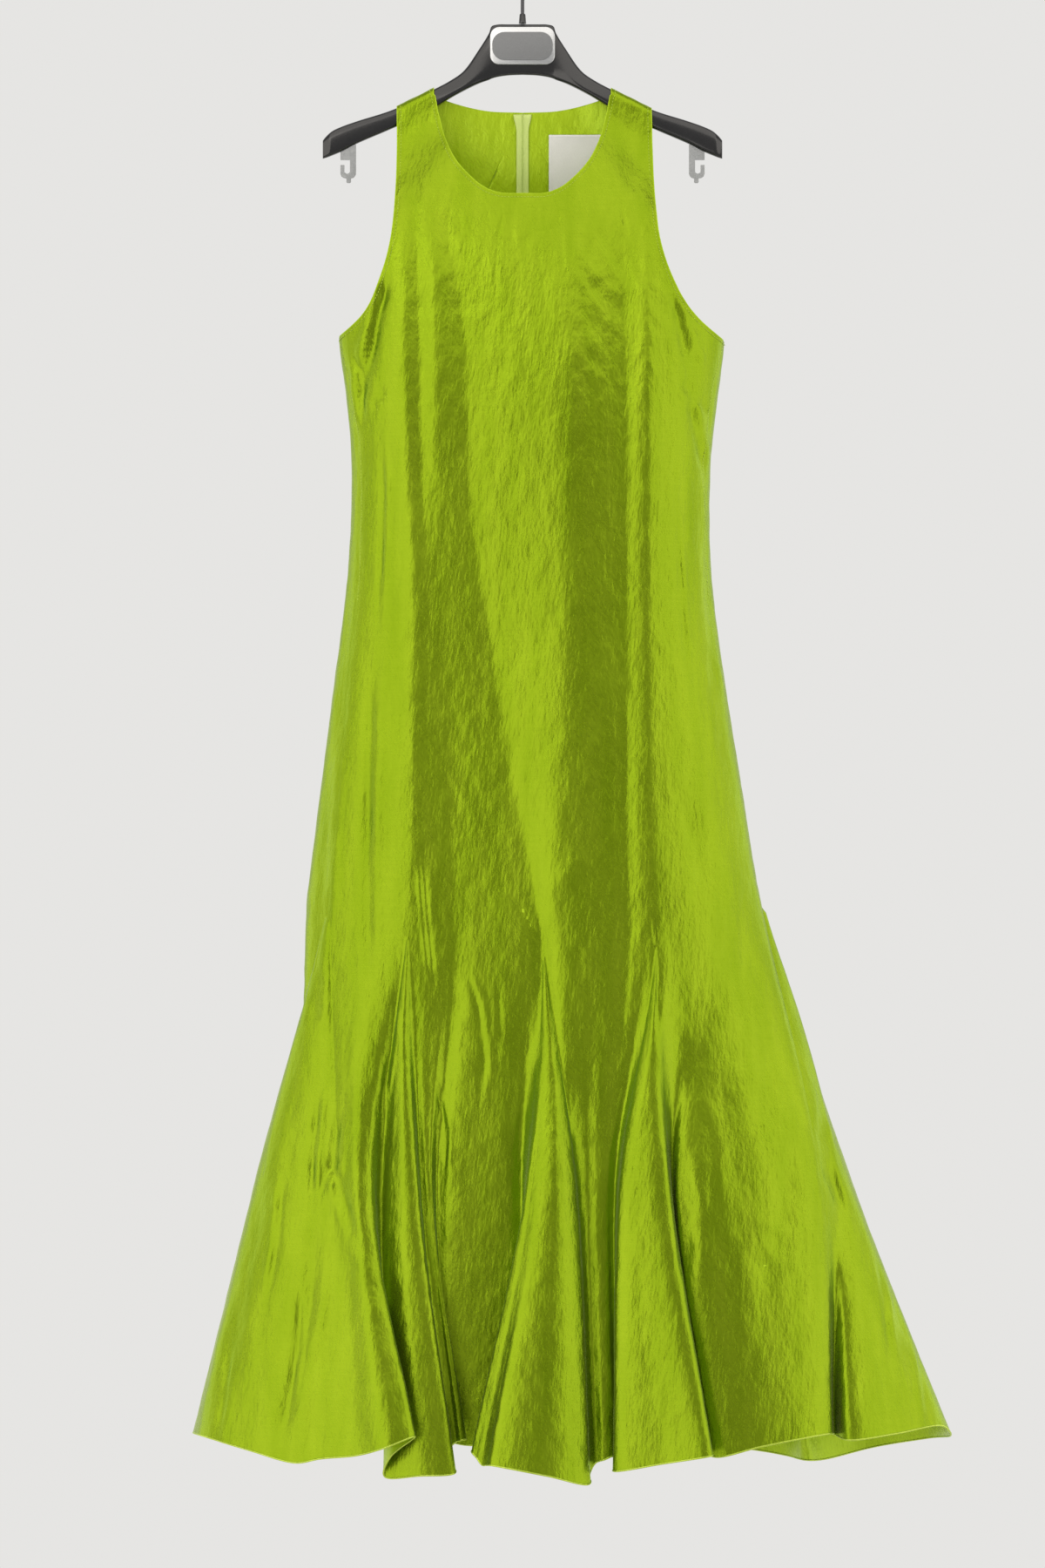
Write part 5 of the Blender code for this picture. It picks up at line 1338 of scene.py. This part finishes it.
# %% Zip slider and pull
enamel = speckled("zip_metal_finish", (0.40, 0.51, 0.10), (0.50, 0.62, 0.16), 500.0, 3.0, (0.15, 0.25),
                  Metallic=0.35)
for node, name, body, bevel in (("zip_slider", "slider_body", "dress", 0.25),
                                ("zip_pull", "pull_tab", "zip_pull", 0.18)):
    work = bmesh.new()
    work.from_mesh(bpy.data.objects[node].data)
    bmesh.ops.remove_doubles(work, verts=work.verts, dist=0.00001)
    bmesh.ops.dissolve_limit(work, angle_limit=math.radians(2), verts=work.verts, edges=work.edges)
    finished(name, bevelled(work, 35, bevel, 2), enamel, body, (node,))
print("zip slider and pull: done")

# %% [markdown]
# ## What was cut
# Every piece of cloth is listed with the size it was cut to: its widest
# and longest measure on the table, its flat area, because none is a rectangle, and what it
# rests on.  The loop below only prints each piece's hem and the length of its middle column.

# %% Sheets
Cut = namedtuple("Cut", "width length area rests_on")
CUTS = {
    "front": Cut(0.56, 1.37, 0.513, "hanger_moulding"),
    "back_left": Cut(0.30, 1.36, 0.312, "hanger_moulding"),
    "back_right": Cut(0.34, 1.38, 0.319, "hanger_moulding"),
    "godet_side_left": Cut(0.26, 0.56, 0.085, "cloth_front"),
    "godet_front_left": Cut(0.14, 0.55, 0.031, "cloth_front"),
    "godet_front_centre": Cut(0.19, 0.53, 0.042, "cloth_front"),
    "godet_front_right": Cut(0.15, 0.53, 0.038, "cloth_front"),
    "godet_side_right": Cut(0.34, 0.57, 0.093, "cloth_front"),
    "godet_back_right": Cut(0.12, 0.55, 0.033, "cloth_back_right"),
    "godet_back_centre": Cut(0.13, 0.52, 0.038, "cloth_back_left"),
    "godet_back_left": Cut(0.12, 0.55, 0.033, "cloth_back_left"),
}
for name, cut in CUTS.items():
    hem, first = sum(length_of(g[-1]) for g in grids[name]), grids[name][0]
    print(f"{name}: hem {hem:.3f} m, column {length_of(first[:, first.shape[1] // 2]):.3f} m")

# %% [markdown]
# ## Studio
# A pale floor below, a pale room round it, and two tall softboxes at the sides.  Cloth
# that faces the camera reflects the dim side of the room between the boxes and looks
# deep; cloth that leans to a side catches a box and glows.

# %% Floor, room and lights
def grey(value):
    return (value, value * 0.992, value * 0.972, 1)


FLOOR_HALF, FLOOR_Z = 0.95, -1.8
corners = np.array([(x * FLOOR_HALF, y * FLOOR_HALF, FLOOR_Z)
                    for x, y in ((-1, -1), (1, -1), (1, 1), (-1, 1))])
floor = bpy.data.objects.new("floor", mesh_from(corners, [(0, 1, 2, 3)]))
paint = Finish("floor_finish", Roughness=0.9)
paint.set("Base Color", grey(0.85))
floor.data.materials.append(paint.material)
bpy.context.collection.objects.link(floor)

room = bpy.data.worlds.new("room")
room.use_nodes = True
bpy.context.scene.world = room
tree, nodes = room.node_tree, room.node_tree.nodes
nodes["Background"].inputs["Color"].default_value = grey(0.43)
wall = add_node(tree, "ShaderNodeBackground", None, {"Color": grey(0.79)})
depth = add_node(tree, "ShaderNodeSeparateXYZ", None, {0: add_node(tree, "ShaderNodeTexCoord")}, 1)
behind = add_node(tree, "ShaderNodeMapRange", {"interpolation_type": "SMOOTHSTEP"},
                  {"Value": depth, "From Min": 0.0, "From Max": 0.6})
seen = add_node(tree, "ShaderNodeLightPath")
share = add_node(tree, "ShaderNodeMath", {"operation": "MAXIMUM"}, {0: seen, 1: behind})
either = add_node(tree, "ShaderNodeMixShader", None, {0: share, 1: nodes["Background"].outputs[0], 2: wall})
feed(tree, nodes["World Output"].inputs["Surface"], either)

Softbox = namedtuple("Softbox", "name turn lift away width height glow")
SOFTBOXES = [       # turn and lift in degrees from the camera's own direction, glow in W/m2/sr
    Softbox("left_box", -43, 4, 3.0, 3.9, 3.2, 1.50),
    Softbox("left_side", -108, 0, 2.8, 2.6, 3.0, 1.00),
    Softbox("right_box", 62, 4, 3.0, 2.7, 3.2, 1.45),
    Softbox("right_side", 112, 0, 2.8, 2.6, 3.0, 1.00),
    Softbox("top_box", 4, 50, 3.0, 4.6, 2.8, 1.35),
]
AIM = Vector((0, 0, -0.85))
for box in SOFTBOXES:
    light = bpy.data.lights.new(box.name, "AREA")
    light.shape = "RECTANGLE"
    light.size, light.size_y = box.width, box.height
    light.energy = box.glow * math.pi * box.width * box.height
    light.color = (1.0, 0.95, 0.88)
    lamp = bpy.data.objects.new(box.name, light)
    turn, lift = math.radians(box.turn), math.radians(box.lift)
    away = Vector((math.sin(turn) * math.cos(lift), -math.cos(turn) * math.cos(lift), math.sin(lift)))
    lamp.location = AIM + away * box.away
    lamp.rotation_euler = (-away).to_track_quat("-Z", "Y").to_euler()
    lamp.visible_camera = False
    bpy.context.collection.objects.link(lamp)
bpy.context.scene.view_settings.view_transform = "Standard"
print("lights:", len(SOFTBOXES))
